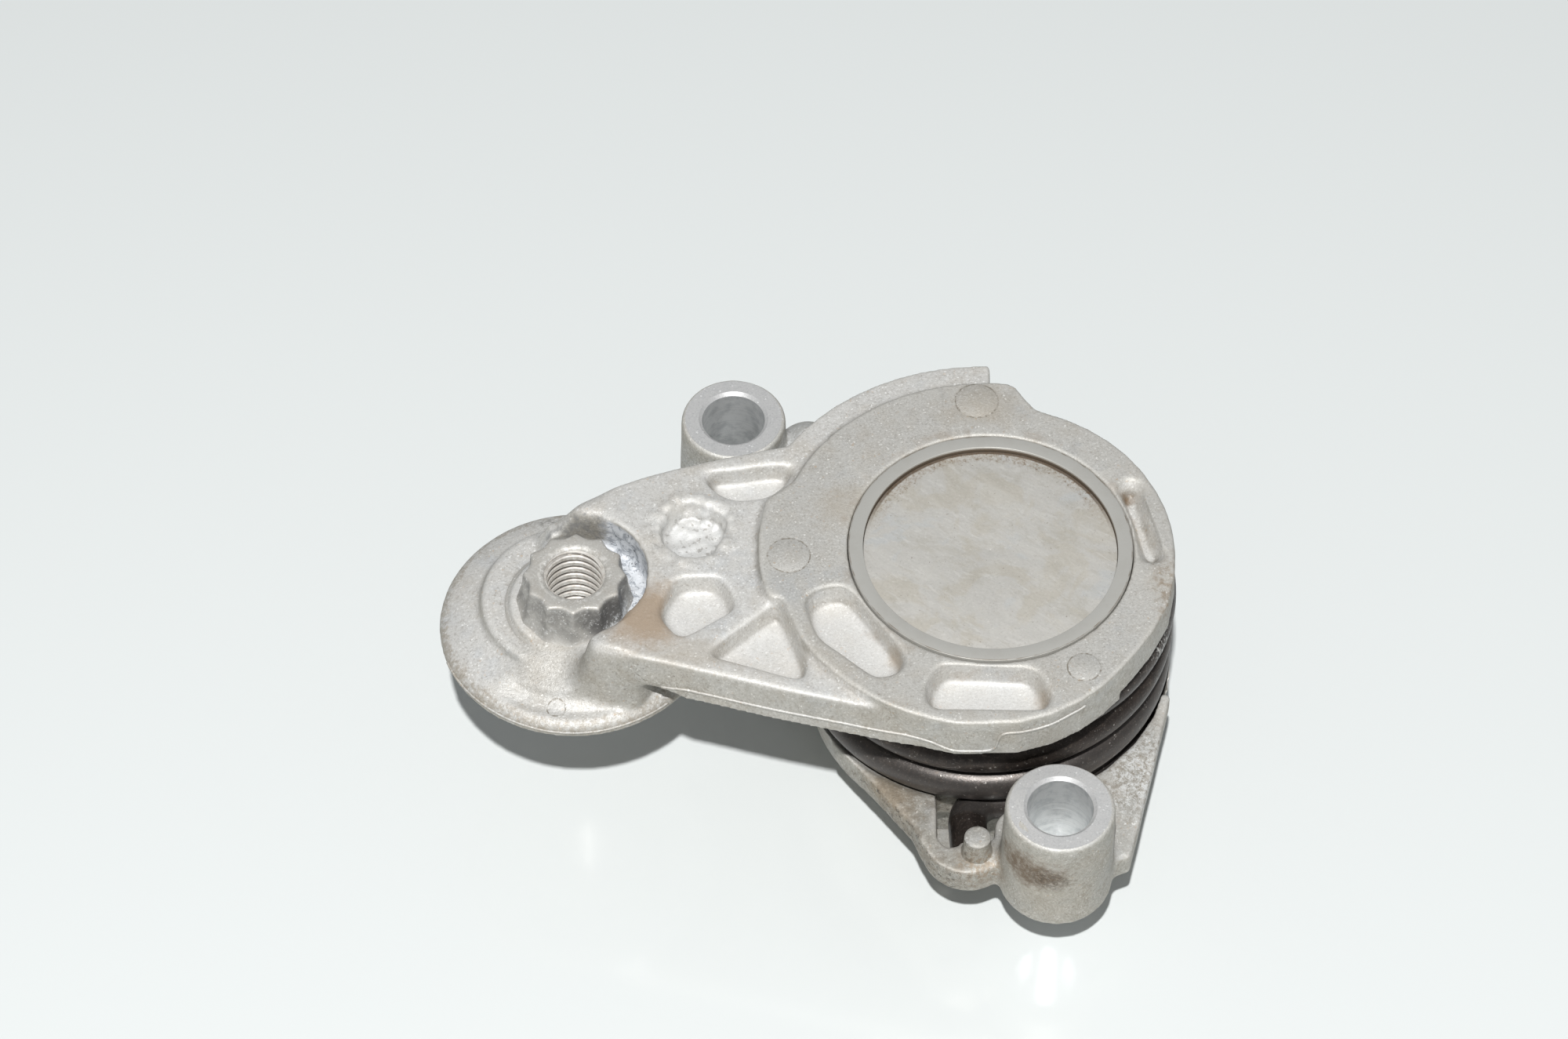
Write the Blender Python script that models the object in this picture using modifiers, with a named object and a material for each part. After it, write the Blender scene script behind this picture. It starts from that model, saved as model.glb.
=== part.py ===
"""Belt tensioner: a cast arm on a cast base, urged by an open torsion spring.

Frame: +Z is the pivot axis and z = 0 the rear face of the base's hub and shaft. The arm reaches
out along -X, and +Y runs from the front bolt boss to the back one. All sizes are millimetres.
"""
from math import acos, atan2, cos, degrees, hypot, pi, radians, sin

import bmesh
import bpy

MM = 0.001
GAP = 0.3

# Heights above the rear face
HUB_FLOOR_Z = 12.0
CUP_UNDER_Z = 11.0
FLANGE_UNDER_Z = 14.9
BOSS_REAR_Z = 14.5
PLATE_TOP_Z = 20.0
BOSS_TOP_Z = 35.0
ARM_UNDER_Z = 42.0
SPRING_SEAT_Z = ARM_UNDER_Z + 1.5
WEB_T = 6.5
WEB_TOP_Z = ARM_UNDER_Z + WEB_T
HEAD_STEP = 1.5
HEAD_TOP_Z = WEB_TOP_Z + HEAD_STEP
CLEAR_Z = HEAD_TOP_Z + 10.0

# Torsion spring; the form's rows are turn, change of radius and share of the rise
WIRE_R = 3.2
COIL_R = 27.8
COIL_START = -86.5
COIL_STEPS = 28
COIL_TURNS = 3.54
COIL_LOW_Z = PLATE_TOP_Z - 3.8
COIL_HIGH_Z = SPRING_SEAT_Z - WIRE_R - GAP
COIL_FORM = [(0.0, -0.8, 0.0), (0.1, -1.4, 0.055), (0.35, 0.0, 0.126), (1.0, 0.0, 0.298), (2.0, 0.0, 0.622),
             (3.0, 0.0, 0.916), (3.3, 0.0, 0.992), (COIL_TURNS, 0.0, 1.0)]
GROOVE_CLEARANCE = 1.0
BEND_R = WIRE_R + 2.0
BEND_STEPS = 6
TAIL_LEG = 4.7
ABUTMENT_UNDER_Z = ARM_UNDER_Z - 4.4
SEAL_TOP_Z = PLATE_TOP_Z + 0.4
SLEEVE_R = COIL_R - WIRE_R - 0.7
SLEEVE_T = 2.0

# Pivot
SHAFT_R = 7.0
SHAFT_FLANGE_R = SHAFT_R + 4.0
SHAFT_FLANGE_T = 2.7
BUSH_T = 1.5
BUSH_LENGTH = 11.5
HUB_BORE_R = SHAFT_R + BUSH_T + 2 * GAP
ARM_HUB_R = HUB_BORE_R + 5.9
ARM_HUB_UNDER_Z = HUB_FLOOR_Z + 2.3
RING_R = 23.1
RING_T = 2.2
RING_BORE_R = RING_R - RING_T
COUNTERBORE_R = RING_R + GAP
COUNTERBORE_Z = HEAD_TOP_Z - 5.5
SHAFT_TOP_Z = COUNTERBORE_Z + 2.0
RETAINER_T = 1.4
CUP_SPRING_T = 0.5
PLATE_R = RING_BORE_R - GAP
FRONT_PLATE_TOP_Z = HEAD_TOP_Z - 1.0
FRONT_PLATE_T = 1.1

# Base housing
CUP_CENTRE = (0.4, 0.0)
CUP_TOP_R = COIL_R + 3.5
CUP_UNDER_R = CUP_TOP_R - 1.7
SHOULDER_Z = PLATE_TOP_Z - 1.7
HUB_RECESS_R = ARM_HUB_R + 4.6
HUB_R = HUB_RECESS_R + 4.4
FRONT_BOSS = (10.9, -41.2)
BACK_BOSS = (-42.5, 39.1)
BOLT_HOLE_R = 5.25
BOLT_CHAMFER = 0.7
BOSS_TOP_R = BOLT_HOLE_R + 3.65
BOSS_REAR_R = BOSS_TOP_R + 0.5
LOBE_R = 7.6
POST_R = 2.35
POST_TOP_Z = PLATE_TOP_Z + 4.6
LUG = (-30.3, 41.0)
LUG_R = 2.9
LUG_TOP_Z = PLATE_TOP_Z + 6.0

# Stops: a lug on the arm's hub runs in a gap of the base's inner wall
TRAVEL = 50.0
STOP_LUG_ANGLE = 60.0
STOP_LUG_WIDTH = 24.0
STOP_SLACK = 0.9
STOP_TOP_Z = ARM_HUB_UNDER_Z + 3.2

# Arm end; the dome's rows are shares of the shield's radius and height
ARM_END = (-67.9, -4.5)
SHIELD_R = 22.7
SHIELD_TOP_Z = ARM_UNDER_Z - 1.0
SHIELD_UNDER_Z = SHIELD_TOP_Z - 7.5
SHIELD_DOME = [(0.471, 1.0), (0.511, 0.773), (0.573, 0.72), (0.7, 0.6), (0.859, 0.467), (0.956, 0.333),
               (0.996, 0.2), (1.0, 0.0)]
SHIELD_HOLLOW = [(0.938, 0.0), (0.894, 0.173), (0.749, 0.32), (0.573, 0.413)]
PULLEY_SEAT_Z = SHIELD_UNDER_Z - 1.0
SPIGOT_R = 8.4
PULLEY_SEAT_R = SPIGOT_R + 3.1
SPIGOT_UNDER_Z = PULLEY_SEAT_Z - 3.0
COLLAR = (-68.6, -2.9)
COLLAR_R = 15.1
COLLAR_TOP_Z = SHIELD_TOP_Z - 1.2
NUT_TOP_Z = SHIELD_TOP_Z + 7.0
THREAD_R = 4.6
NUT_MEAN_R = THREAD_R + 3.5
NUT_LOBES = 12
NUT_LOBE_DEPTH = 0.5
SOCKET_RECESS_R = NUT_MEAN_R + 3.95
SOCKET_RECESS_Z = SHIELD_TOP_Z + 0.3
POCKET_DRAFT = 1.0
WEB_POCKET_DEPTH = 3.4
HEAD_POCKET_DEPTH = 3.8
WEB_DRAFT = 1.7
WEB_SLOPE_LOW_Z = ARM_UNDER_Z - 4.0


def clear_scene():
    for item in list(bpy.data.objects):
        bpy.data.objects.remove(item, do_unlink=True)


def make_collection(name):
    collection = bpy.data.collections.new(name)
    bpy.context.scene.collection.children.link(collection)
    return collection


def material(name, colour, roughness, metallic):
    result = bpy.data.materials.new(name)
    result.use_nodes = True
    shader = result.node_tree.nodes["Principled BSDF"]
    shader.inputs["Base Color"].default_value = (*colour, 1.0)
    shader.inputs["Roughness"].default_value = roughness
    shader.inputs["Metallic"].default_value = metallic
    return result


# Outlines are lists of (x, y) points that run counter-clockwise

def arc(centre, radius, start, end, step=6.0):
    """Points on an arc, with the angles in degrees."""
    count = max(2, round(abs(end - start) / step))
    angles = [radians(start + (end - start) * i / count) for i in range(count + 1)]
    return [(centre[0] + radius * cos(a), centre[1] + radius * sin(a)) for a in angles]


def sweep(radii):
    """Points round the pivot from (angle, radius) pairs."""
    return [(radius * cos(radians(angle)), radius * sin(radians(angle))) for angle, radius in radii]


def hull_of_two(first, first_r, second, second_r, step=6.0):
    """The outline of two circles and their outer tangents."""
    dx, dy = second[0] - first[0], second[1] - first[1]
    heading = degrees(atan2(dy, dx))
    spread = degrees(acos((first_r - second_r) / hypot(dx, dy)))
    far_side = arc(second, second_r, heading - spread, heading + spread, step)
    near_side = arc(first, first_r, heading + spread, heading + 360 - spread, step)
    return far_side + near_side


def ring_sector(inner_r, outer_r, start, end, step=6.0):
    return arc((0, 0), outer_r, start, end, step) + arc((0, 0), inner_r, end, start, step)


def rounded(points, radius, steps=3):
    """An outline whose corners are eased over the given radius."""
    result = []
    for index, corner in enumerate(points):
        before, after = points[index - 1], points[(index + 1) % len(points)]
        ends = []
        for other in (before, after):
            dx, dy = other[0] - corner[0], other[1] - corner[1]
            share = min(radius / hypot(dx, dy), 0.45)
            ends.append((corner[0] + dx * share, corner[1] + dy * share))
        for step in range(steps + 1):
            t = step / steps
            weights = ((1 - t) ** 2, 2 * t * (1 - t), t ** 2)
            trio = (ends[0], corner, ends[1])
            result.append(tuple(sum(w * p[axis] for w, p in zip(weights, trio)) for axis in (0, 1)))
    return result


def scaled(outline, distance):
    """The outline drawn towards its middle, by the distance on average."""
    middle = [sum(point[axis] for point in outline) / len(outline) for axis in (0, 1)]
    mean_r = sum(hypot(x - middle[0], y - middle[1]) for x, y in outline) / len(outline)
    factor = 1 - distance / mean_r
    return [(middle[0] + (x - middle[0]) * factor, middle[1] + (y - middle[1]) * factor) for x, y in outline]


def grown(outline, distance):
    """The outline moved outward by a distance along its normals."""
    result = []
    for index, (x, y) in enumerate(outline):
        ax, ay = outline[index - 1]
        bx, by = outline[(index + 1) % len(outline)]
        length = hypot(bx - ax, by - ay)
        result.append((x + (by - ay) / length * distance, y - (bx - ax) / length * distance))
    return result


# Solids

def add_object(name, mesh, collection):
    item = bpy.data.objects.new(name, mesh)
    collection.objects.link(item)
    if collection is TOOLS:
        item.hide_render = True
        item.display_type = "WIRE"
    return item


def mesh_from_curve(name, curve, collection):
    """Turns a filled curve into a welded mesh object."""
    holder = bpy.data.objects.new(name + "_curve", curve)
    bpy.context.scene.collection.objects.link(holder)
    bpy.context.view_layer.update()
    evaluated = holder.evaluated_get(bpy.context.evaluated_depsgraph_get())
    mesh = bpy.data.meshes.new_from_object(evaluated)
    bpy.data.objects.remove(holder, do_unlink=True)
    shape = bmesh.new()
    shape.from_mesh(mesh)
    bmesh.ops.remove_doubles(shape, verts=shape.verts, dist=1e-6)
    bmesh.ops.recalc_face_normals(shape, faces=shape.faces)
    shape.to_mesh(mesh)
    shape.free()
    return add_object(name, mesh, collection)


def prism(name, outline, low_z, high_z, collection):
    curve = bpy.data.curves.new(name, "CURVE")
    curve.dimensions = "2D"
    curve.fill_mode = "BOTH"
    curve.extrude = (high_z - low_z) / 2 * MM
    spline = curve.splines.new("POLY")
    spline.points.add(len(outline) - 1)
    for point, (x, y) in zip(spline.points, outline):
        point.co = (x * MM, y * MM, 0, 1)
    spline.use_cyclic_u = True
    item = mesh_from_curve(name, curve, collection)
    item.location.z = (low_z + high_z) / 2 * MM
    return item


def drafted(name, low_outline, low_z, high_outline, high_z, collection):
    """A loft between two outlines with the same number of points."""
    shape = bmesh.new()
    low = [shape.verts.new((x * MM, y * MM, low_z * MM)) for x, y in low_outline]
    high = [shape.verts.new((x * MM, y * MM, high_z * MM)) for x, y in high_outline]
    shape.faces.new(list(reversed(low)))
    shape.faces.new(high)
    for index in range(len(low)):
        after = (index + 1) % len(low)
        shape.faces.new((low[index], low[after], high[after], high[index]))
    mesh = bpy.data.meshes.new(name)
    shape.to_mesh(mesh)
    shape.free()
    return add_object(name, mesh, collection)


def turned(name, profile, collection, centre=(0, 0), steps=48, closed=True):
    """A profile of (radius, z) points, down its outer side first, turned about +Z.

    A cutter is turned a little about its axis, so that its vertices miss the edges of what it cuts.
    """
    mesh = bpy.data.meshes.new(name)
    vertices = [(radius * MM, 0, z * MM) for radius, z in profile]
    edges = [(i, i + 1) for i in range(len(profile) - 1)]
    if closed:
        edges.append((len(profile) - 1, 0))
    mesh.from_pydata(vertices, edges, [])
    item = add_object(name, mesh, collection)
    item.location = (centre[0] * MM, centre[1] * MM, 0)
    if collection is TOOLS:
        item.rotation_euler.z = radians(steps / 20)
    screw = item.modifiers.new("turn", "SCREW")
    screw.steps = steps
    screw.render_steps = steps
    screw.use_merge_vertices = True
    screw.merge_threshold = 1e-5
    screw.use_normal_calculate = False
    return item


def tube(name, inner_r, outer_r, low_z, high_z, collection, centre=(0, 0), steps=48):
    profile = [(outer_r, high_z), (outer_r, low_z), (inner_r, low_z), (inner_r, high_z)]
    return turned(name, profile, collection, centre, steps)


def rod(name, radius, low_z, high_z, collection, centre=(0, 0), steps=48):
    profile = [(0, high_z), (radius, high_z), (radius, low_z), (0, low_z)]
    return turned(name, profile, collection, centre, steps, closed=False)


def wire(name, path, radius, collection):
    curve = bpy.data.curves.new(name, "CURVE")
    curve.dimensions = "3D"
    curve.bevel_depth = radius * MM
    curve.bevel_resolution = 2
    curve.use_fill_caps = True
    spline = curve.splines.new("POLY")
    spline.points.add(len(path) - 1)
    for point, (x, y, z) in zip(spline.points, path):
        point.co = (x * MM, y * MM, z * MM, 1)
    return mesh_from_curve(name, curve, collection)


def combine(target, tool, operation):
    step = target.modifiers.new(tool.name, "BOOLEAN")
    step.operation = operation
    step.solver = "EXACT"
    step.object = tool
    return target


def join(target, *tools):
    for tool in tools:
        combine(target, tool, "UNION")


def cut(target, *tools):
    for tool in tools:
        combine(target, tool, "DIFFERENCE")


# The base

def bolt_boss(name, centre):
    """A drafted boss with a chamfered bolt hole."""
    top_edge = BOSS_TOP_Z - 0.5
    profile = [(BOSS_TOP_R - 0.5, BOSS_TOP_Z), (BOSS_TOP_R, top_edge), (BOSS_REAR_R, BOSS_REAR_Z),
               (BOLT_HOLE_R - 2, BOSS_REAR_Z), (BOLT_HOLE_R - 2, BOSS_TOP_Z)]
    return turned(name, profile, TOOLS, centre)


def bolt_hole(name, centre):
    clear = 2.0
    mouth_r = BOLT_HOLE_R + BOLT_CHAMFER
    low_z = BOSS_REAR_Z - clear
    profile = [(0, BOSS_TOP_Z + clear), (mouth_r + clear, BOSS_TOP_Z + clear), (mouth_r, BOSS_TOP_Z),
               (BOLT_HOLE_R, BOSS_TOP_Z - BOLT_CHAMFER), (BOLT_HOLE_R, low_z), (0, low_z)]
    return turned(name, profile, TOOLS, centre, steps=36, closed=False)


def base_cup():
    profile = [(0, PLATE_TOP_Z), (CUP_TOP_R, PLATE_TOP_Z), (CUP_UNDER_R, CUP_UNDER_Z), (HUB_R, CUP_UNDER_Z),
               (HUB_R, 0), (0, 0)]
    return turned("base_housing", profile, PART, CUP_CENTRE, steps=72, closed=False)


def hub_hollow():
    """The recess for the arm's hub, the shaft's bore, and the seat of the shaft's flange."""
    seat_z = SHAFT_FLANGE_T + GAP
    seat_r = SHAFT_FLANGE_R + GAP
    bore_r = SHAFT_R + GAP
    profile = [(0, BOSS_TOP_Z), (HUB_RECESS_R, BOSS_TOP_Z), (HUB_RECESS_R, HUB_FLOOR_Z),
               (bore_r, HUB_FLOOR_Z), (bore_r, seat_z), (seat_r, seat_z), (seat_r, -2), (0, -2)]
    return turned("hub_hollow", profile, TOOLS, steps=50, closed=False)


def front_flange():
    """The flange from the cup to the front boss, straight along its right side."""
    outline = [(0, -26), (11, -45), (23.2, -40.6), (31.2, -7.2)]
    return prism("front_flange", outline, FLANGE_UNDER_Z, PLATE_TOP_Z - 0.02, TOOLS)


def left_flange():
    """The flange from the cup's left side to the lobe in front of the window."""
    outline = [(-25.6, -17.6), (-12.4, -34.6), (-11.0, -38.4), (-6.0, -39.0), (9.0, -44.0), (6.0, -26.0)]
    return prism("left_flange", outline, FLANGE_UNDER_Z, PLATE_TOP_Z + 0.04, TOOLS)


def back_flange():
    outline = hull_of_two((-12.0, 11.0), 15.0, BACK_BOSS, 8.6)
    return prism("back_flange", outline, FLANGE_UNDER_Z + 0.1, PLATE_TOP_Z - 0.05, TOOLS)


def beside_lower_tail(offsets):
    """Points given from the end of the spring's lower tail."""
    tail_x, tail_y, _ = tail_path(0, -1)[-1]
    return [(tail_x + x, tail_y + y) for x, y in offsets]


def window():
    """The opening in which the spring's lower tail hooks behind the post."""
    outline = beside_lower_tail([(-5.5, 11.2), (-5.5, -0.2), (-4.1, -1.9), (-2.4, -1.9), (-1.8, -0.3),
                                 (3.8, -0.3), (4.0, 3.4), (5.5, 5.5), (8.3, 6.6), (8.9, 11.2)])
    return prism("window", rounded(outline, 0.8), CUP_UNDER_Z - 6, PLATE_TOP_Z + 10, TOOLS)


def stop_wall():
    """The inner wall whose two ends stop the lug on the arm's hub."""
    half = STOP_LUG_WIDTH / 2 + STOP_SLACK
    start = STOP_LUG_ANGLE + half + TRAVEL
    end = STOP_LUG_ANGLE - half + 360
    outline = ring_sector(ARM_HUB_R + GAP, HUB_RECESS_R + 1.5, start, end, 8)
    return prism("stop_wall", outline, HUB_FLOOR_Z - 1, STOP_TOP_Z, TOOLS)


def groove_tools():
    """Cutters along the first turn of the coil, and above it, in halves that don't cross themselves."""
    bend_start = tail_path(0, -1)[:BEND_STEPS // 2]
    first_half = bend_start[::-1] + coil_path(0, 0.6)
    second_half = coil_path(0.55, 1.1)
    tools = []
    for level in range(3):
        for half, path in enumerate([first_half, second_half]):
            raised = [(x, y, z + level * WIRE_R) for x, y, z in path]
            tools.append(wire(f"groove_{level}_{half}", raised, WIRE_R + GROOVE_CLEARANCE, TOOLS))
    return tools


def make_base():
    base = base_cup()
    lobe, post = beside_lower_tail([(-0.4, 0.5), (0.9, -POST_R - 0.4)])
    join(base, front_flange(), left_flange(), back_flange())
    join(base, rod("lobe", LOBE_R, FLANGE_UNDER_Z - 0.15, PLATE_TOP_Z + 0.3, TOOLS, lobe, 40))
    join(base, bolt_boss("front_boss", FRONT_BOSS), bolt_boss("back_boss", BACK_BOSS))
    join(base, rod("casting_lug", LUG_R, FLANGE_UNDER_Z + 0.3, LUG_TOP_Z, TOOLS, LUG, 20))
    cut(base, hub_hollow())
    join(base, stop_wall())
    shoulder = ring_sector(COIL_R, CUP_TOP_R + 2, -14, 85)
    cut(base, window(), prism("right_shoulder", shoulder, SHOULDER_Z, PLATE_TOP_Z + 4, TOOLS))
    cut(base, *groove_tools())
    join(base, rod("post", POST_R, FLANGE_UNDER_Z + 0.2, POST_TOP_Z, TOOLS, post, 20))
    cut(base, bolt_hole("front_bolt_hole", FRONT_BOSS), bolt_hole("back_bolt_hole", BACK_BOSS))
    return base


# The spring

def coil_point(turn):
    """A point of the coil, between the rows of its form."""
    rows = [row for row in COIL_FORM if row[0] <= turn][-1:] + [row for row in COIL_FORM if row[0] > turn][:1]
    first, last = rows[0], rows[-1]
    share = (turn - first[0]) / (last[0] - first[0]) if last is not first else 0.0
    change, rise = (first[i] + (last[i] - first[i]) * share for i in (1, 2))
    radius = COIL_R + change
    angle = radians(COIL_START + 360 * turn)
    return (radius * cos(angle), radius * sin(angle), COIL_LOW_Z + (COIL_HIGH_Z - COIL_LOW_Z) * rise)


def coil_path(first_turn, last_turn):
    count = round((last_turn - first_turn) * COIL_STEPS)
    return [coil_point(first_turn + (last_turn - first_turn) * i / count) for i in range(count + 1)]


def tail_place(turn, side, run, rise):
    """A point near the coil's end: run goes on along the wire there, and rise goes outward."""
    x, y, z = coil_point(turn)
    angle = radians(COIL_START + 360 * turn)
    along = (-sin(angle) * side, cos(angle) * side)
    return (x + along[0] * run + cos(angle) * rise, y + along[1] * run + sin(angle) * rise, z)


def tail_path(turn, side):
    """A bend of a quarter turn out of the coil, then a straight leg; side is -1 at the coil's start."""
    path = []
    for step in range(1, BEND_STEPS + 1):
        angle = radians(90 * step / BEND_STEPS)
        path.append(tail_place(turn, side, BEND_R * sin(angle), BEND_R * (1 - cos(angle))))
    return path + [tail_place(turn, side, BEND_R, BEND_R + TAIL_LEG)]


def make_spring():
    lower_tail = tail_path(0, -1)
    upper_tail = tail_path(COIL_TURNS, 1)
    return [wire("torsion_spring", lower_tail[::-1] + coil_path(0, COIL_TURNS) + upper_tail, WIRE_R, PART)]


# The arm

def head_outline():
    """The raised plateau round the pivot, with the notch at its back."""
    right_side = [(-66, 34.0), (-58, 33.0), (-50, 32.0), (-42, 31.3), (-34, 31.0), (-22, 30.8), (-10, 30.3)]
    notch = [(8.0, 29.4), (6.1, 32.0), (4.9, 34.0), (3.4, 34.9)]
    front_side = [(-159, 36.3), (-96, 36.0), (-84, 35.7), (-75, 35.0)]
    front = arc((0, 0), 36.3, -161, -100) + sweep(front_side[1:])
    back = arc((0, 0), 35.0, 89, 157) + arc((0, 0), 38.0, 165, 195)
    return sweep(right_side) + arc((0, 0), 30.2, 0, 72, 8) + notch + back + front


def web_outline():
    """The web's top, from the head to past the socket recess at the arm's end."""
    front_edge = [(-70.0, -18.6), (-52.5, -22.9), (-33.6, -28.1), (-16.1, -32.3), (-8.0, -33.8)]
    back_edge = [(-30.0, 22.6), (-33.8, 22.3), (-39.0, 20.9), (-46.8, 18.9), (-57.2, 15.3), (-66.1, 11.3),
                 (-77.0, 5.4)]
    return front_edge + [(0, -20), (0, 10)] + back_edge + [(-79.0, -6.0)]


def shelf_outline():
    return arc((0, 0), 40.0, 89, 146) + [(-20, 14), (0.5, 20)]


def shield_profile():
    """The domed shield over the pulley's bearing, with the bearing's seat and spigot under it."""
    height = SHIELD_TOP_Z - SHIELD_UNDER_Z
    skin = [(SHIELD_R * r, SHIELD_UNDER_Z + height * h) for r, h in SHIELD_DOME + SHIELD_HOLLOW]
    seat = [(PULLEY_SEAT_R, SHIELD_UNDER_Z + height / 3), (PULLEY_SEAT_R, PULLEY_SEAT_Z),
            (SPIGOT_R, PULLEY_SEAT_Z), (SPIGOT_R - 0.4, SPIGOT_UNDER_Z), (0, SPIGOT_UNDER_Z)]
    return [(0, SHIELD_TOP_Z)] + skin + seat


def shield_collar():
    """The low step round the nut, off the nut's centre."""
    root_z = COLLAR_TOP_Z - 2.5
    profile = [(0, COLLAR_TOP_Z), (COLLAR_R - 0.7, COLLAR_TOP_Z), (COLLAR_R, COLLAR_TOP_Z - 0.7),
               (COLLAR_R + 0.3, root_z), (0, root_z)]
    return turned("shield_collar", profile, TOOLS, COLLAR, 52, closed=False)


def nut_outline():
    """Twelve rounded lobes, as a double hexagon socket grips them."""
    count = NUT_LOBES * 6
    result = []
    for index in range(count):
        angle = 2 * pi * (index + 0.5) / count
        radius = NUT_MEAN_R + NUT_LOBE_DEPTH * cos(NUT_LOBES * angle)
        result.append((ARM_END[0] + radius * cos(angle), ARM_END[1] + radius * sin(angle)))
    return result


def web_pockets():
    """The four weight-saving pockets in the web."""
    return {
        "back_pocket": [(-47.4, 15.0), (-44.8, 12.0), (-42.0, 10.6), (-36.6, 11.2), (-34.4, 13.0),
                        (-32.4, 15.6), (-31.8, 18.2), (-37.1, 18.0), (-42.3, 16.8), (-46.6, 16.6)],
        "battered_pocket": [(-55.0, 4.0), (-53.0, 0.4), (-50.6, -1.7), (-45.0, -1.0), (-42.6, 4.6),
                            (-43.7, 8.0), (-48.6, 10.0), (-51.6, 10.4)],
        "five_sided_pocket": [(-54.5, -12.5), (-51.4, -17.1), (-49.8, -17.7), (-40.9, -11.3), (-43.9, -5.1),
                              (-51.5, -5.5)],
        "long_pocket": [(-46.4, -21.0), (-30.4, -26.2), (-29.6, -23.4), (-34.2, -11.0), (-35.2, -10.8)],
    }


def head_pockets():
    """The pockets in the plateau: two kidneys and a slot."""
    return {
        "left_kidney": [(-30.6, -11.5), (-28.4, -18.4), (-18.6, -26.9), (-14.9, -25.6), (-13.7, -23.0),
                        (-21.6, -10.6), (-24.4, -7.7), (-29.2, -9.2)],
        "front_kidney": [(-11.5, -29.0), (-10.4, -32.6), (8.2, -32.7), (9.4, -30.6), (6.8, -24.6),
                         (-9.0, -23.9)],
        "right_slot": [(27.9, -1.8), (28.4, 1.0), (27.4, 6.0), (24.8, 12.6), (23.3, 13.6), (22.5, 12.0),
                       (24.5, 5.4), (25.6, -1.4)],
    }


def cut_pockets(arm, pockets, top_z, depth):
    for name, corners in pockets.items():
        top = rounded(corners, 1.7, 2)
        floor = scaled(top, POCKET_DRAFT)
        above = scaled(top, -POCKET_DRAFT / depth * 2)
        cut(arm, drafted(name, floor, top_z - depth, above, top_z + 2, TOOLS))


def web_solid():
    top = rounded(web_outline(), 2.0, 2)
    web = drafted("arm_web", grown(top, WEB_DRAFT), ARM_UNDER_Z, top, WEB_TOP_Z, TOOLS)
    cut(web, end_slope("web_slope"))
    return web


def web_foot():
    """The web's root, which stands on the shield round the arm's end."""
    front_edge = [(-69.6, -20.2), (-57.5, -22.8), (-53.0, -15.0)]
    back_edge = [(-52.0, 8.0), (-60.0, 15.8), (-66.9, 12.8), (-77.6, 7.0), (-80.2, -6.0)]
    outline = front_edge + back_edge
    foot = drafted("web_foot", grown(outline, 0.8), SHIELD_TOP_Z - 4.1, outline, ARM_UNDER_Z + 1, TOOLS)
    cut(foot, end_slope("foot_slope"))
    return foot


def end_slope(name):
    """The wedge off the web's end, where its top falls to the shield on a slant."""
    low_edge = [(-66.7, -26.0), (-78.4, 14.0)]
    high_edge = [(-64.1, -26.0), (-68.4, 16.0)]
    far_side = [(-110.0, 16.0), (-94.0, -41.0)]
    return drafted(name, low_edge + far_side, WEB_SLOPE_LOW_Z, high_edge + far_side, WEB_TOP_Z + 1.5, TOOLS)


def stop_lug():
    half = STOP_LUG_WIDTH / 2
    outline = ring_sector(ARM_HUB_R - 2, HUB_RECESS_R - 3 * GAP, STOP_LUG_ANGLE - half, STOP_LUG_ANGLE + half)
    return prism("stop_lug", outline, ARM_HUB_UNDER_Z + 0.05, STOP_TOP_Z, TOOLS)


def beside_upper_tail(low_run, high_run, low_rise, high_rise):
    corners = [(high_run, low_rise), (high_run, high_rise), (low_run, high_rise), (low_run, low_rise)]
    outline = [tail_place(COIL_TURNS, 1, run, rise)[:2] for run, rise in corners]
    return outline[::-1]


def spring_seat():
    inner_r, outer_r = SLEEVE_R - SLEEVE_T - GAP, COIL_R + WIRE_R + 1.4
    return tube("spring_seat", inner_r, outer_r, COIL_HIGH_Z - 10, SPRING_SEAT_Z, TOOLS, steps=56)


def tail_slot():
    """The relief under the shelf for the spring's upper tail."""
    side = WIRE_R + 2 * GAP
    outline = beside_upper_tail(BEND_R - side, BEND_R + side, WIRE_R, BEND_R + TAIL_LEG + 2 * GAP)
    return prism("tail_slot", outline, COIL_HIGH_Z - 10, SPRING_SEAT_Z - 0.05, TOOLS)


def spring_abutment():
    """The cast block under the shelf that pushes the spring's upper tail round."""
    face_run = BEND_R - WIRE_R - GAP
    outline = beside_upper_tail(face_run - 5, face_run, BEND_R, BEND_R + TAIL_LEG)
    return prism("spring_abutment", outline, ABUTMENT_UNDER_Z, SPRING_SEAT_Z + 0.7, TOOLS)


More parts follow.
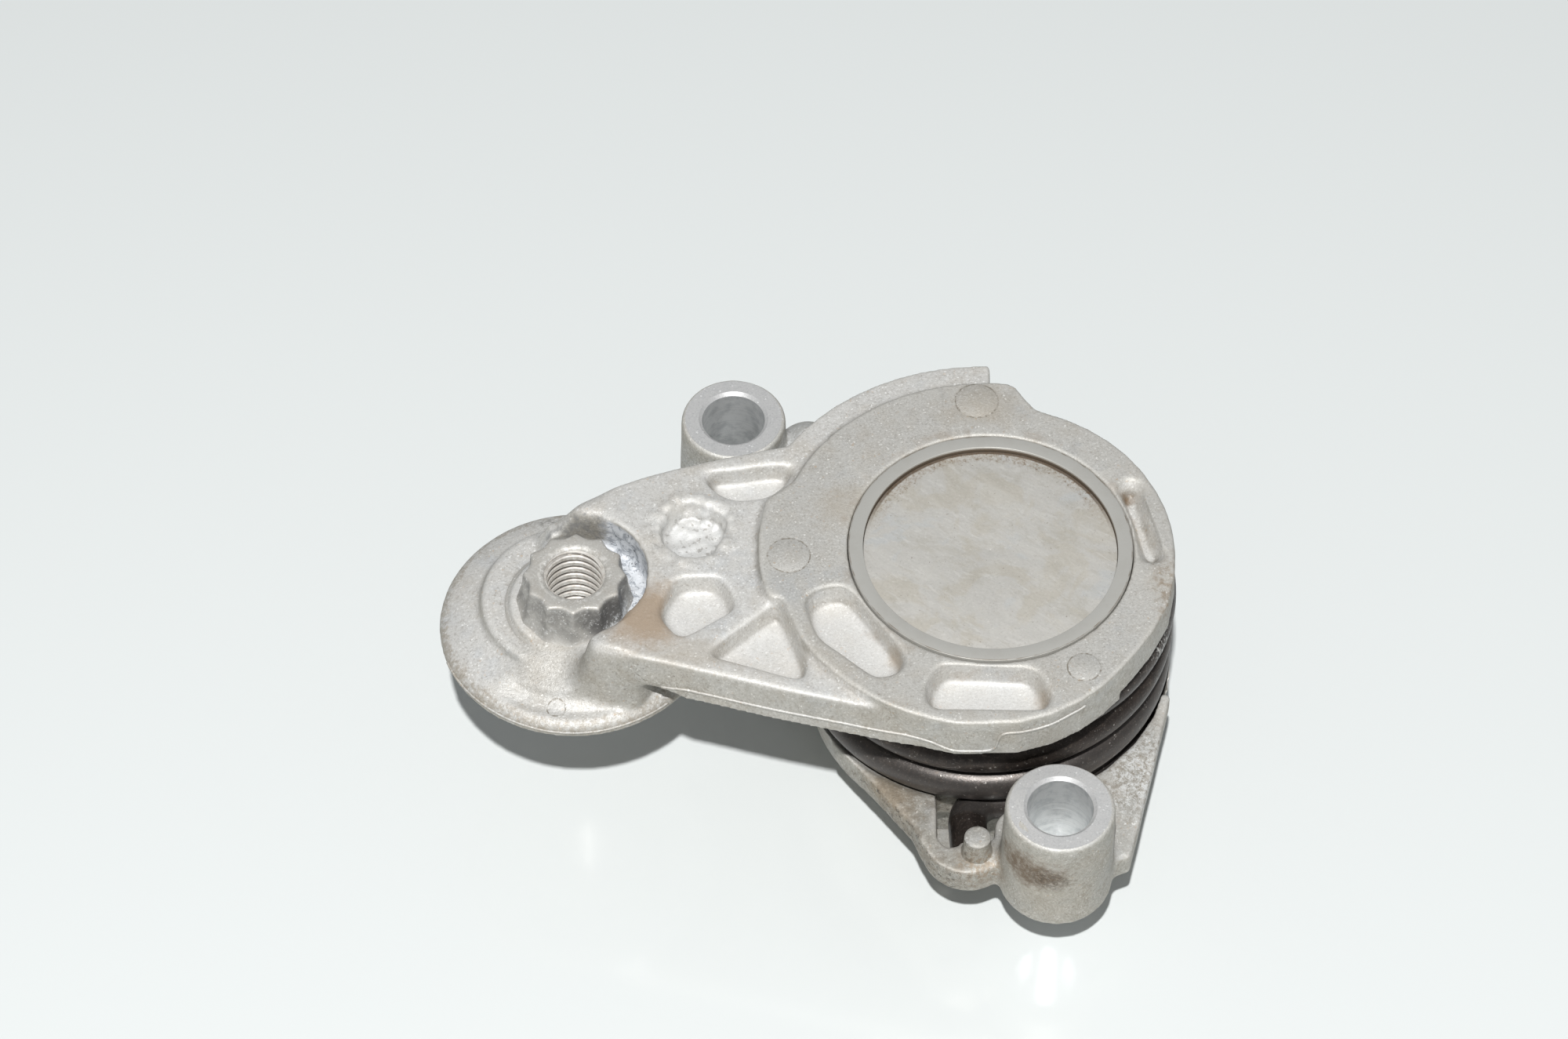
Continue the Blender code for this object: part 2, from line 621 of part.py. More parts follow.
def make_arm():
    head = head_outline()
    arm = drafted("tension_arm", grown(head, 0.4), ARM_UNDER_Z - 0.1, head, HEAD_TOP_Z, PART)
    shelf = shelf_outline()
    join(arm, drafted("shelf", grown(shelf, 0.4), ARM_UNDER_Z + 0.3, shelf, WEB_TOP_Z - 0.05, TOOLS))
    join(arm, web_solid(), web_foot())
    join(arm, turned("shield", shield_profile(), TOOLS, ARM_END, 60, closed=False), shield_collar())
    join(arm, rod("arm_hub", ARM_HUB_R, ARM_HUB_UNDER_Z, SPRING_SEAT_Z + 0.6, TOOLS))
    join(arm, stop_lug())
    cut(arm, rod("socket_recess", SOCKET_RECESS_R, SOCKET_RECESS_Z, CLEAR_Z, TOOLS, ARM_END, 40))
    join(arm, prism("nut", nut_outline(), SHIELD_TOP_Z - 3, NUT_TOP_Z, TOOLS))
    cut(arm, spring_seat(), tail_slot())
    join(arm, spring_abutment())
    cut_pockets(arm, web_pockets(), WEB_TOP_Z, WEB_POCKET_DEPTH)
    cut_pockets(arm, head_pockets(), HEAD_TOP_Z, HEAD_POCKET_DEPTH)
    cut(arm, rod("counterbore", COUNTERBORE_R, COUNTERBORE_Z, CLEAR_Z, TOOLS, steps=60))
    cut(arm, rod("hub_bore", HUB_BORE_R, ARM_HUB_UNDER_Z - 5, CLEAR_Z, TOOLS, steps=40))
    cut(arm, rod("thread_bore", THREAD_R, SPIGOT_UNDER_Z - 5, CLEAR_Z, TOOLS, ARM_END, 32))
    return arm


# The pivot's pieces

def make_shaft():
    profile = [(0, SHAFT_TOP_Z), (SHAFT_R - 0.6, SHAFT_TOP_Z), (SHAFT_R, SHAFT_TOP_Z - 0.6),
               (SHAFT_R, SHAFT_FLANGE_T), (SHAFT_FLANGE_R, SHAFT_FLANGE_T), (SHAFT_FLANGE_R, 0), (0, 0)]
    return turned("pivot_shaft", profile, PART, steps=40, closed=False)


def make_bushes():
    inner_r, outer_r = SHAFT_R + GAP, SHAFT_R + GAP + BUSH_T
    low_z = ARM_HUB_UNDER_Z + GAP
    high_z = COUNTERBORE_Z - GAP
    lower = tube("lower_bush", inner_r, outer_r, low_z, low_z + BUSH_LENGTH, PART, steps=40)
    upper = tube("upper_bush", inner_r, outer_r, high_z - BUSH_LENGTH, high_z, PART, steps=40)
    return [lower, upper]


def make_thrust_washer():
    low_z, high_z = HUB_FLOOR_Z + GAP, ARM_HUB_UNDER_Z - GAP
    return tube("thrust_washer", SHAFT_R + 2 * GAP, ARM_HUB_R - 0.5, low_z, high_z, PART, steps=40)


def make_dust_seal():
    outer_r = HUB_RECESS_R - GAP
    lip_r = ARM_HUB_R + GAP
    low_z, high_z = STOP_TOP_Z + 0.5, SEAL_TOP_Z
    profile = [(outer_r, high_z), (outer_r, low_z), (lip_r, low_z), (lip_r, low_z + 1), (lip_r + 1.3, high_z)]
    return turned("dust_seal", profile, PART, steps=40)


def make_spring_sleeve():
    low_z, high_z = SEAL_TOP_Z + GAP, SPRING_SEAT_Z - GAP
    return tube("spring_sleeve", SLEEVE_R - SLEEVE_T, SLEEVE_R, low_z, high_z, PART, steps=48)


def make_top_stack():
    """The pieces in the head's counterbore: ring, retaining washer, cup spring and front plate."""
    edge = 0.4
    low_z = COUNTERBORE_Z + GAP
    eased_z = HEAD_TOP_Z - edge
    ring_profile = [(RING_BORE_R + edge, HEAD_TOP_Z), (RING_R - edge, HEAD_TOP_Z), (RING_R, eased_z),
                    (RING_R, low_z), (RING_BORE_R, low_z), (RING_BORE_R, eased_z)]
    ring = turned("friction_ring", ring_profile, PART, steps=60)
    retainer_top = low_z + RETAINER_T
    washer = tube("retaining_washer", SHAFT_R + GAP, RING_BORE_R - 2, low_z, retainer_top, PART, steps=40)
    top_z, under_z = FRONT_PLATE_TOP_Z, FRONT_PLATE_TOP_Z - FRONT_PLATE_T
    cup_low, cup_high = retainer_top + GAP, under_z - GAP
    inner_r, outer_r = SHAFT_R + 2, PLATE_R - 2.6
    cup_profile = [(inner_r, cup_high), (outer_r, cup_low + CUP_SPRING_T), (outer_r, cup_low),
                   (inner_r, cup_high - CUP_SPRING_T)]
    cup = turned("spring_washer", cup_profile, PART, steps=40)
    plate_profile = [(0, top_z), (PLATE_R - edge, top_z), (PLATE_R, top_z - edge), (PLATE_R, under_z),
                     (0, under_z)]
    plate = turned("front_plate", plate_profile, PART, steps=60, closed=False)
    return [ring, washer, cup, plate]


def finish(items, surface):
    for item in items:
        item.data.materials.clear()
        item.data.materials.append(surface)
        item.data.shade_smooth()
        item.data.set_sharp_from_angle(angle=radians(30))


clear_scene()
PART = make_collection("belt_tensioner")
TOOLS = make_collection("cutters")

cast = material("cast_aluminium", (0.60, 0.58, 0.55), 0.45, 0.6)
spring_steel = material("spring_steel", (0.05, 0.045, 0.043), 0.4, 0.3)
plain_steel = material("plain_steel", (0.50, 0.50, 0.50), 0.4, 0.8)
plate_steel = material("plate_steel", (0.62, 0.60, 0.56), 0.5, 0.6)
bush_plastic = material("bush_plastic", (0.25, 0.22, 0.18), 0.6, 0.0)
seal_rubber = material("seal_rubber", (0.03, 0.03, 0.03), 0.8, 0.0)

finish([make_base(), make_arm()], cast)
finish(make_spring(), spring_steel)
top_stack = make_top_stack()
finish([make_shaft(), make_thrust_washer()] + top_stack[:3], plain_steel)
finish(top_stack[3:], plate_steel)
finish(make_bushes() + [make_spring_sleeve()], bush_plastic)
finish([make_dust_seal()], seal_rubber)
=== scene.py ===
"""Looks of the belt tensioner: cast skins with fillets, a threaded nut form, and worn, grimy metal.

Lengths here are millimetres, which MM turns into the metres of the frame and of Blender.
Colours are sRGB from 0 to 255.
"""
from math import cos, pi, radians, sin

import bmesh
import bpy
import numpy as np
from mathutils import Matrix, Vector, noise
from mathutils.bvhtree import BVHTree

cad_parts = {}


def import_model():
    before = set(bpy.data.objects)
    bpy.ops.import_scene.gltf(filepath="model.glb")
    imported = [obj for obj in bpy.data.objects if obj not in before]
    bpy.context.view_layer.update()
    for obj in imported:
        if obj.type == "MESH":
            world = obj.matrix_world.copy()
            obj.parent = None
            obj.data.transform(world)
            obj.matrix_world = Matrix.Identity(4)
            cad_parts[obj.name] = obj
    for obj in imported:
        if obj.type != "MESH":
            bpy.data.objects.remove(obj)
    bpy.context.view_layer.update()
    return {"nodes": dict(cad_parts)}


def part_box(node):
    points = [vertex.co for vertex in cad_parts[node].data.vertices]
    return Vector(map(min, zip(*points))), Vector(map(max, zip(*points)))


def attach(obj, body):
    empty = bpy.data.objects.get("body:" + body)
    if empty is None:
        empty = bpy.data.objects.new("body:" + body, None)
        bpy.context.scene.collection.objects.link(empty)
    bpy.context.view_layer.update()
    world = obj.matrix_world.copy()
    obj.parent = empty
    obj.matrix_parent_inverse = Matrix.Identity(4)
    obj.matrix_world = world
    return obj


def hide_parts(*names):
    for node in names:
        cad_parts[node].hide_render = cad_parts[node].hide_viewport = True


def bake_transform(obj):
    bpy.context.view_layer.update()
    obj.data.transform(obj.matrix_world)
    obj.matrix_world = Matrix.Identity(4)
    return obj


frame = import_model()
scene = bpy.context.scene
scene.view_settings.view_transform = "Standard"

MM = 0.001

# The size of the remeshing voxels, in millimetres
VOXEL = 0.38
MOST_TRIANGLES = 190000

# Rounds of smoothing are counted for voxels of 0.5, and finer ones need more
ROUNDS = (0.5 / VOXEL) ** 2

# Places on the arm and the base, as in the frame
ARM_END = (-67.9, -4.5)
FRONT_BOSS = (10.9, -41.2)
BACK_BOSS = (-42.5, 39.1)
POST = (-2.0, -39.9)


def size_of(node):
    """A node's lowest and highest corner in millimetres."""
    low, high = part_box(node)
    return low / MM, high / MM


HEAD_TOP = size_of("tension_arm")[1].z
PLATE_R = size_of("front_plate")[1].x
PLATE_TOP = size_of("front_plate")[1].z
RING_R = size_of("friction_ring")[1].x
RING_TOP = size_of("friction_ring")[1].z
BASE_TOP = size_of("base_housing")[1].z

NUT_TOP = HEAD_TOP - 2.0
RECESS_FLOOR = HEAD_TOP - 8.7
THREAD_END = HEAD_TOP - 20.5
SHIELD_TOP = HEAD_TOP - 9.0

# The arm's top side with its pockets lies above this height
TOP_SIDE = HEAD_TOP - 7


# Meshes

def new_object(name, mesh):
    item = bpy.data.objects.new(name, mesh)
    scene.collection.objects.link(item)
    return item


def mesh_of(name, vertices, faces):
    mesh = bpy.data.meshes.new(name)
    mesh.from_pydata([tuple(c * MM for c in v) for v in vertices], [], faces)
    mesh.shade_smooth()
    return mesh


def loft_faces(rows, sides):
    """Quads between closed rings of points that follow each other."""
    faces = []
    for row in range(rows - 1):
        a, b = row * sides, (row + 1) * sides
        for i in range(sides):
            j = (i + 1) % sides
            faces.append((a + i, a + j, b + j, b + i))
    return faces


def turned(name, profile, centre=(0.0, 0.0), steps=160, sharp=35):
    """A closed profile of (radius, z), down its outer side first, turned about +Z."""
    vertices = []
    for index in range(steps):
        angle = 2 * pi * index / steps
        vertices += [(centre[0] + r * cos(angle), centre[1] + r * sin(angle), z) for r, z in profile]
    count = len(profile)
    faces = []
    for index in range(steps):
        here, there = index * count, (index + 1) % steps * count
        for row in range(count):
            after = (row + 1) % count
            faces.append((here + row, here + after, there + after, there + row))
    mesh = mesh_of(name, vertices, faces)
    shape = bmesh.new()
    shape.from_mesh(mesh)
    bmesh.ops.remove_doubles(shape, verts=shape.verts, dist=1e-7)
    bmesh.ops.recalc_face_normals(shape, faces=shape.faces)
    shape.to_mesh(mesh)
    shape.free()
    mesh.set_sharp_from_angle(angle=radians(sharp))
    return new_object(name, mesh)


def eased(profile, radius=0.3, steps=3):
    """A closed profile with each corner rounded."""
    result = []
    for index, corner in enumerate(profile):
        corner = np.array(corner, float)
        before, after = (np.array(profile[i], float) for i in (index - 1, (index + 1) % len(profile)))
        sides = (before - corner, after - corner)
        ends = [corner + side * min(radius / np.linalg.norm(side), 0.45) for side in sides]
        for step in range(steps + 1):
            t = step / steps
            result.append(tuple((1 - t) ** 2 * ends[0] + 2 * t * (1 - t) * corner + t * t * ends[1]))
    return result


def tube(name, path, radius, sides=24):
    """A round wire along a path, with flat, slightly chamfered ends."""
    path = np.array(path, float)
    tangents = np.gradient(path, axis=0)
    tangents /= np.linalg.norm(tangents, axis=1)[:, None]
    side = np.cross(tangents[0], (0, 0, 1))
    side /= np.linalg.norm(side)
    angles = np.arange(sides) * 2 * pi / sides
    rings = []
    spots = [(0, 0.85), *((i, 1.0) for i in range(len(path))), (len(path) - 1, 0.85)]
    for order, (index, share) in enumerate(spots):
        tangent = tangents[index]
        side = side - tangent * side.dot(tangent)
        side /= np.linalg.norm(side)
        other = np.cross(tangent, side)
        shift = 0.12 * radius * (order == 0) - 0.12 * radius * (order == len(spots) - 1)
        centre = path[index] - tangent * shift
        circle = np.outer(np.cos(angles), side) + np.outer(np.sin(angles), other)
        rings.append(centre + radius * share * circle)
    vertices = np.concatenate(rings).tolist()
    faces = loft_faces(len(rings), sides)
    faces.append(tuple(range(sides))[::-1])
    faces.append(tuple(range((len(rings) - 1) * sides, len(rings) * sides)))
    mesh = mesh_of(name, vertices, faces)
    mesh.set_sharp_from_angle(angle=radians(50))
    return new_object(name, mesh)


# Cast skins

def welded_copy(node, name):
    """A closed copy of a node's mesh, which comes with split vertices."""
    mesh = frame["nodes"][node].data.copy()
    shape = bmesh.new()
    shape.from_mesh(mesh)
    bmesh.ops.remove_doubles(shape, verts=shape.verts, dist=1e-7)
    shape.to_mesh(mesh)
    shape.free()
    return new_object(name, mesh)


def apply_modifiers(item):
    graph = bpy.context.evaluated_depsgraph_get()
    item.data = bpy.data.meshes.new_from_object(item.evaluated_get(graph))
    item.modifiers.clear()


def carved_and_remeshed(item, cutters, added=()):
    """Joins the added forms to an item, cuts the cutters out, and gives it an even grid of points."""
    for cutter in (*added, *cutters):
        cutter.hide_render = True
        step = item.modifiers.new(cutter.name, "BOOLEAN")
        step.operation = "DIFFERENCE" if cutter in cutters else "UNION"
        step.solver = "EXACT"
        step.object = cutter
    grid = item.modifiers.new("grid", "REMESH")
    grid.mode = "VOXEL"
    grid.voxel_size = VOXEL * MM
    apply_modifiers(item)
    for cutter in (*added, *cutters):
        bpy.data.objects.remove(cutter)


class Skin:
    """The points of a remeshed casting, in millimetres, with smoothing and displacement."""

    def __init__(self, item):
        self.mesh = item.data
        self.points = np.zeros(len(self.mesh.vertices) * 3)
        self.mesh.vertices.foreach_get("co", self.points)
        self.points = self.points.reshape(-1, 3) / MM
        edges = np.zeros(len(self.mesh.edges) * 2, np.int64)
        self.mesh.edges.foreach_get("vertices", edges)
        self.first, self.second = edges.reshape(-1, 2).T
        count = len(self.points)
        self.valence = np.bincount(self.first, minlength=count) + np.bincount(self.second, minlength=count)

    def mean_of_neighbours(self, values):
        total = np.zeros_like(values)
        columns = values.reshape(len(values), -1)
        sums = total.reshape(len(values), -1)
        for column in range(columns.shape[1]):
            sums[:, column] = np.bincount(self.first, columns[self.second, column], len(values))
            sums[:, column] += np.bincount(self.second, columns[self.first, column], len(values))
        return (sums / self.valence[:, None]).reshape(values.shape)

    def relax(self, weight, rounds):
        for _ in range(rounds):
            self.points += 0.5 * weight[:, None] * (self.mean_of_neighbours(self.points) - self.points)

    def steady(self, rounds):
        """Takes out the grid's ripple and keeps the volume."""
        for _ in range(rounds):
            for share in (0.5, -0.53):
                self.points += share * (self.mean_of_neighbours(self.points) - self.points)

    def normals(self):
        self.write_points()
        values = np.zeros(len(self.points) * 3)
        self.mesh.vertices.foreach_get("normal", values)
        return values.reshape(-1, 3)

    def push(self, distance):
        """Moves each point along its normal."""
        self.points += self.normals() * distance[:, None]

    def write_points(self):
        self.mesh.vertices.foreach_set("co", (self.points * MM).ravel())
        self.mesh.update()

    def curvature(self, rounds):
        """Positive in hollows and negative on edges."""
        offset = self.mean_of_neighbours(self.points) - self.points
        value = (offset * self.normals()).sum(axis=1) * 0.5 / VOXEL ** 2
        for _ in range(rounds):
            value = self.mean_of_neighbours(value)
        return value

    def enclosed(self, item):
        """1 where the item's own walls stand both in front of a point and behind it."""
        tree = BVHTree.FromObject(item, bpy.context.evaluated_depsgraph_get())
        starts = self.points + 0.4 * self.normals()
        starts[:, 2] = np.minimum(starts[:, 2], HEAD_TOP - 2.2)
        sides = (Vector((0, -1, 0)), Vector((0, 1, 0)))
        values = np.zeros(len(starts))
        for index, start in enumerate(starts):
            values[index] = all(tree.ray_cast(Vector(start) * MM, side, 30 * MM)[0] for side in sides)
        for _ in range(3):
            values = self.mean_of_neighbours(values)
        return values

    def store(self, name, values):
        attribute = self.mesh.attributes.new(name, "FLOAT", "POINT")
        attribute.data.foreach_set("value", values.astype(np.float32))

    def finish(self, item):
        """Stores the bends for the painted shade and dirt in hollows and the painted edge highlights, and
        takes triangles out of the flat places.
        """
        self.points[:, 2] = np.clip(self.points[:, 2], 0.02, HEAD_TOP - 0.05)
        self.store("hollow", np.clip(self.curvature(3) * 9, 0, 1))
        self.store("edge", np.clip(-self.curvature(3) * 7, 0, 1))
        self.write_points()
        self.mesh.shade_smooth()
        count = 2 * len(self.mesh.polygons)
        if count > MOST_TRIANGLES:
            thinner = item.modifiers.new("thinner", "DECIMATE")
            thinner.ratio = MOST_TRIANGLES / count
            apply_modifiers(item)


def smoothstep(value, low, high):
    share = np.clip((value - low) / (high - low), 0, 1)
    return share * share * (3 - 2 * share)


def near(points, centre, radius, soft):
    """1 inside a circle about a vertical axis and 0 outside it."""
    distance = np.hypot(points[:, 0] - centre[0], points[:, 1] - centre[1])
    return 1 - smoothstep(distance, radius - soft / 2, radius + soft / 2)


def between(values, low, high):
    return (values > low) * (values < high) * 1.0


def lumps(points, size, seed):
    """Smooth noise from -1 to 1 with lumps of about the given size."""
    return np.array([noise.noise(Vector(p / size) + Vector((seed, 0, 0))) for p in points])


POCKETS = [((-40.0, 14.5), 10.5), ((-48.8, 4.4), 9.0), ((-47.5, -11.0), 9.5), ((-37.0, -18.0), 11.0),
           ((-22.0, -17.5), 13.0), ((-1.0, -28.5), 13.5), ((25.5, 6.0), 9.5)]
BATTERED_POCKET = (-48.8, 4.4)

# Round prints of the mould's ejector pins: three on the head, and one on the shield's ledge
MARKS = [((-32.95, -2.1), 3.5), ((-1.65, 30.9), 3.6), ((14.5, -24.4), 2.7), ((-70.6, -23.25), 1.5)]


def round_cutter(name, centre, radius, top, low):
    return turned(name, [(radius, top), (radius, low), (0, low), (0, top)], centre, 48)


def arm_casting():
    """The arm's skin, with its nut form left to a piece of its own."""
    item = welded_copy("tension_arm", "arm_casting")
    stump = round_cutter("nut_stump", ARM_END, 9.4, NUT_TOP + 5, RECESS_FLOOR)
    bore = round_cutter("bore_hole", ARM_END, 6.4, NUT_TOP, THREAD_END)
    carved_and_remeshed(item, [stump, bore])
    skin = Skin(item)
    points = skin.points
    top = points[:, 2] > TOP_SIDE
    soft = np.zeros(len(points))
    for centre, radius in POCKETS:
        soft = np.maximum(soft, near(points, centre, radius, 3.0) * top)
    pocket = soft * skin.enclosed(frame["nodes"]["tension_arm"])
    soft *= np.where(points[:, 2] < HEAD_TOP - 1.9, 1.0, 0.4)
    below = 1 - smoothstep(points[:, 2], HEAD_TOP - 10.5, HEAD_TOP - 9.0)
    skin.steady(round(6 * ROUNDS) + 1)
    skin.relax(np.ones(len(points)), round(2 * ROUNDS))
    skin.relax(soft, round(10 * ROUNDS) + 1)
    skin.relax(below, round(2 * ROUNDS))
    skin.relax(below * (1 - near(points, ARM_END, 24.5, 2.0)), round(6 * ROUNDS))
    z = points[:, 2]
    tip = near(points, (-67.0, -18.0), 8.0, 6.0) * between(z, HEAD_TOP - 14, HEAD_TOP - 1.5)
    foot = near(points, (-60.0, -22.0), 8.0, 7.0) * between(z, HEAD_TOP - 13, HEAD_TOP - 4)
    shoulder = near(points, (-68.5, 9.0), 5.5, 6.0) * (z > TOP_SIDE)
    corner = near(points, (-65.2, -16.0), 3.4, 4.0) * (z > TOP_SIDE)
    skin.relax(np.maximum.reduce((tip, foot, shoulder, corner)), round(60 * ROUNDS) + 1)
    ledge(skin)
    slot(skin)
    batter(skin)
    skin.push(0.05 * lumps(skin.points, 7.0, 3) + 0.02 * lumps(skin.points, 1.6, 9))
    skin.store("pocket", pocket)
    skin.finish(item)
    return item


def ledge(skin):
    """The crescent-shaped flat on the shield's front, sunk below its dome."""
    points = skin.points
    away = np.hypot(points[:, 0] - ARM_END[0], points[:, 1] - ARM_END[1])
    angle = np.degrees(np.arctan2(points[:, 1] - ARM_END[1], points[:, 0] - ARM_END[0]))
    across = smoothstep(away, 16.4, 17.6) * (1 - smoothstep(away, 19.4, 21.0))
    along = smoothstep(angle, -132, -112) * (1 - smoothstep(angle, -62, -50))
    dome = between(points[:, 2], SHIELD_TOP - 6.0, SHIELD_TOP - 1.5) * (points[:, 1] < ARM_END[1])
    skin.points[:, 2] -= 0.9 * across * along * dome
    round_it = smoothstep(away, 14.5, 16.0) * (1 - smoothstep(away, 21.0, 22.2)) * along * dome
    skin.relax(round_it, 6)


SLOT = [(23.3, 12.1), (24.7, 6.0), (25.8, 1.5), (26.3, -0.9)]


def slot(skin):
    """The head's slot, reshaped along its middle line."""
    points = skin.points
    away = np.full(len(points), 99.0)
    for (x0, y0), (x1, y1) in zip(SLOT, SLOT[1:]):
        run_x, run_y = x1 - x0, y1 - y0
        along = (points[:, 0] - x0) * run_x + (points[:, 1] - y0) * run_y
        along = np.clip(along / (run_x ** 2 + run_y ** 2), 0, 1)
        across = np.hypot(points[:, 0] - x0 - along * run_x, points[:, 1] - y0 - along * run_y)
        away = np.minimum(away, across)
    down = 1 - smoothstep(away, 0.8, 2.1)
    from_pivot = np.hypot(points[:, 0], points[:, 1])
    inside = (points[:, 2] > HEAD_TOP - 5) & (away < 3.0)
    inside &= (from_pivot > RING_R + 0.8) & (from_pivot < RING_R + 6.6)
    skin.points[:, 2] = np.where(inside, HEAD_TOP - 2.8 * down, points[:, 2])
    skin.relax(inside * 1.0, 12)


def batter(skin):
    """The blows in and round one pocket of the web, and the scraped recess beside the nut."""
    points = skin.points
    above = (points[:, 2] > TOP_SIDE) * 1.0
    inside = near(points, BATTERED_POCKET, 7.5, 3.0) * above
    depth = 0.55 * lumps(points, 2.8, 21) + 0.3 * lumps(points, 1.2, 5) + 0.25
    recess = near(points, ARM_END, 13.0, 1.0) * between(points[:, 2], HEAD_TOP - 10, HEAD_TOP - 2)
    scraped = recess * smoothstep(points[:, 0], ARM_END[0] + 1.0, ARM_END[0] + 6.0)
    skin.push(inside * depth + scraped * (0.22 * lumps(points, 1.3, 33) + 0.08))


def window_rib():
    """The low rib under the window's left wall."""
    vertices = [(x, y, z) for x in (-9.0, -1.5) for y in (-37.9, -30.0) for z in (9.5, 12.6)]
    faces = [(0, 1, 3, 2), (4, 6, 7, 5), (0, 4, 5, 1), (2, 3, 7, 6), (0, 2, 6, 4), (1, 5, 7, 3)]
    return new_object("window_rib", mesh_of("window_rib", vertices, faces))


def back_lug():
    """The rounded lug beside the back boss, which shows behind the head."""
    centre, radii = (-29.6, 39.0, 20.0), (7.5, 8.0, 10.8)
    angles = np.radians(np.linspace(90, -90, 25))
    item = turned("back_lug", [(max(cos(a), 0), sin(a)) for a in angles], steps=48)
    item.data.transform(Matrix.Diagonal((*radii, 1)))
    item.data.transform(Matrix.Translation(Vector(centre) * MM))
    return item


def base_casting():
    """The base's skin; the bosses' machined faces are pieces of their own."""
    item = welded_copy("base_housing", "base_casting")
    bosses = (FRONT_BOSS, BACK_BOSS)
    holes = [round_cutter(f"boss_hole_{i}", centre, 6.3, BASE_TOP + 5, 5) for i, centre in enumerate(bosses)]
    carved_and_remeshed(item, holes, [window_rib(), back_lug()])
    skin = Skin(item)
    z = skin.points[:, 2]
    low = (z < 13.0) * 1.0
    rims = between(z, 13.0, 16.2)
    boss_foot = near(skin.points, FRONT_BOSS, 14.5, 3.0) * between(z, 16, 25)
    back_foot = near(skin.points, BACK_BOSS, 13.0, 3.0) * between(z, 16, 25)
    skin.steady(round(6 * ROUNDS) + 1)
    skin.relax(1 - 0.5 * low, round(2 * ROUNDS) + 1)
    skin.relax(rims, round(4 * ROUNDS) + 1)
    slim = near(skin.points, POST, 3.4, 0.8) * smoothstep(z, 18.5, 20.5)
    skin.points[:, :2] += 0.25 * slim[:, None] * (np.array(POST) - skin.points[:, :2])
    skin.relax(np.maximum(boss_foot, back_foot), round(8 * ROUNDS) + 1)
    skin.push(0.07 * lumps(skin.points, 6.0, 13) + 0.02 * lumps(skin.points, 1.5, 19))
    skin.finish(item)
    return item


# Crisp pieces

THREAD_PITCH = 1.6
THREAD_CREST_R = 4.58
THREAD_DEPTH = 0.44
NUT_R = 8.45
NUT_LOBES = 12
NUT_LOBE_DEPTH = 0.85


def scallop(angles):
    """0 at the nut's twelve points and 1 in the middle of the hollows between them."""
    from_point = np.abs((angles * NUT_LOBES / (2 * pi) + 0.5) % 1.0 - 0.5) * 2
    return 1 - (1 - np.sqrt(from_point ** 2 + 0.012) + np.sqrt(0.012)) ** 2


def nut_form():
    """The double-hexagon nut form with its thread, as one lofted skin."""
    columns = 240
    floor = SHIELD_TOP - 1.5
    outside = [(3.5, floor, 0.0), (3.25, floor + 0.4, 0.0), (2.9, floor + 0.62, 0.0), (2.1, floor + 0.8, 0.1)]
    outside += [(1.4, floor + 1.3, 0.25), (0.9, floor + 2.2, 0.5), (0.5, floor + 3.4, 0.75)]
    outside += [(0.3, floor + 4.8, 0.92), (0.15, floor + 6.2, 1.0)]
    outside += [(0.03, NUT_TOP - 1.0, 1.0), (0.0, NUT_TOP - 0.62, 1.0)]
    outside += [(-0.12, NUT_TOP - 0.32, 0.97), (-0.36, NUT_TOP - 0.1, 0.9), (-0.7, NUT_TOP, 0.7)]
    outside += [(-1.3, NUT_TOP + 0.02, 0.35), (-2.0, NUT_TOP, 0.0), (-2.5, NUT_TOP - 0.03, 0.0)]
    rings = []
    angles = 2 * pi * np.arange(columns) / columns
    for change, z, share in outside:
        radius = NUT_R + change - NUT_LOBE_DEPTH * share * scallop(angles)
        rings.append((radius, np.full(columns, z)))
    for radius, drop in ((5.75, 0.05), (5.35, 0.16), (5.08, 0.42)):
        rings.append((np.full(columns, radius), np.full(columns, NUT_TOP - drop)))
    low = THREAD_END + 0.02
    height = NUT_TOP - 0.5 - low
    rows = round(height / THREAD_PITCH * 15)
    for row in range(rows + 1):
        z = NUT_TOP - 0.5 - height * row / rows
        phase = (z / THREAD_PITCH - angles / (2 * pi)) % 1.0
        flank = np.clip((np.abs(2 * phase - 1) - 0.45) / 0.42, 0, 1)
        ease = min(1.0, row / 5, (rows - row) / 6)
        radius = THREAD_CREST_R + THREAD_DEPTH * (1 - (1 - flank ** 1.2) * ease)
        rings.append((radius, np.full(columns, z)))
    rings.append((np.full(columns, 6.6), np.full(columns, low)))
    vertices = []
    for radius, z in rings:
        vertices += list(zip(ARM_END[0] + radius * np.cos(angles), ARM_END[1] + radius * np.sin(angles), z))
    mesh = mesh_of("nut_form", vertices, loft_faces(len(rings), columns))
    mesh.set_sharp_from_angle(angle=radians(48))
    return new_object("nut_form", mesh)


def ejector_mark(name, centre, radius, top):
    """The faint round print of an ejector pin."""
    profile = [(0, top), (radius - 0.12, top), (radius, top - 0.06), (radius, top - 0.8), (0, top - 0.8)]
    return turned(name, profile, centre, 72)


def parting_line(name, skin, stations, direction=1.0):
    """A fine bead on the casting's wall, at given places along X and Z, where the mould's halves met."""
    tree = BVHTree.FromObject(skin, bpy.context.evaluated_depsgraph_get())
    path = []
    for (x0, z0), (x1, z1) in zip(stations, stations[1:]):
        count = max(2, round(np.hypot(x1 - x0, z1 - z0) / 0.4))
        for share in np.arange(count) / count:
            x, z = x0 + (x1 - x0) * share, z0 + (z1 - z0) * share
            start = Vector((x, -60.0 * direction, z)) * MM
            place, _, _, _ = tree.ray_cast(start, Vector((0, direction, 0)), 0.1)
            if place:
                path.append(place / MM)
    path = np.array(path)
    for _ in range(6):
        path[1:-1] += 0.5 * ((path[:-2] + path[2:]) / 2 - path[1:-1])
    return tube(name, path, 0.26, 10)


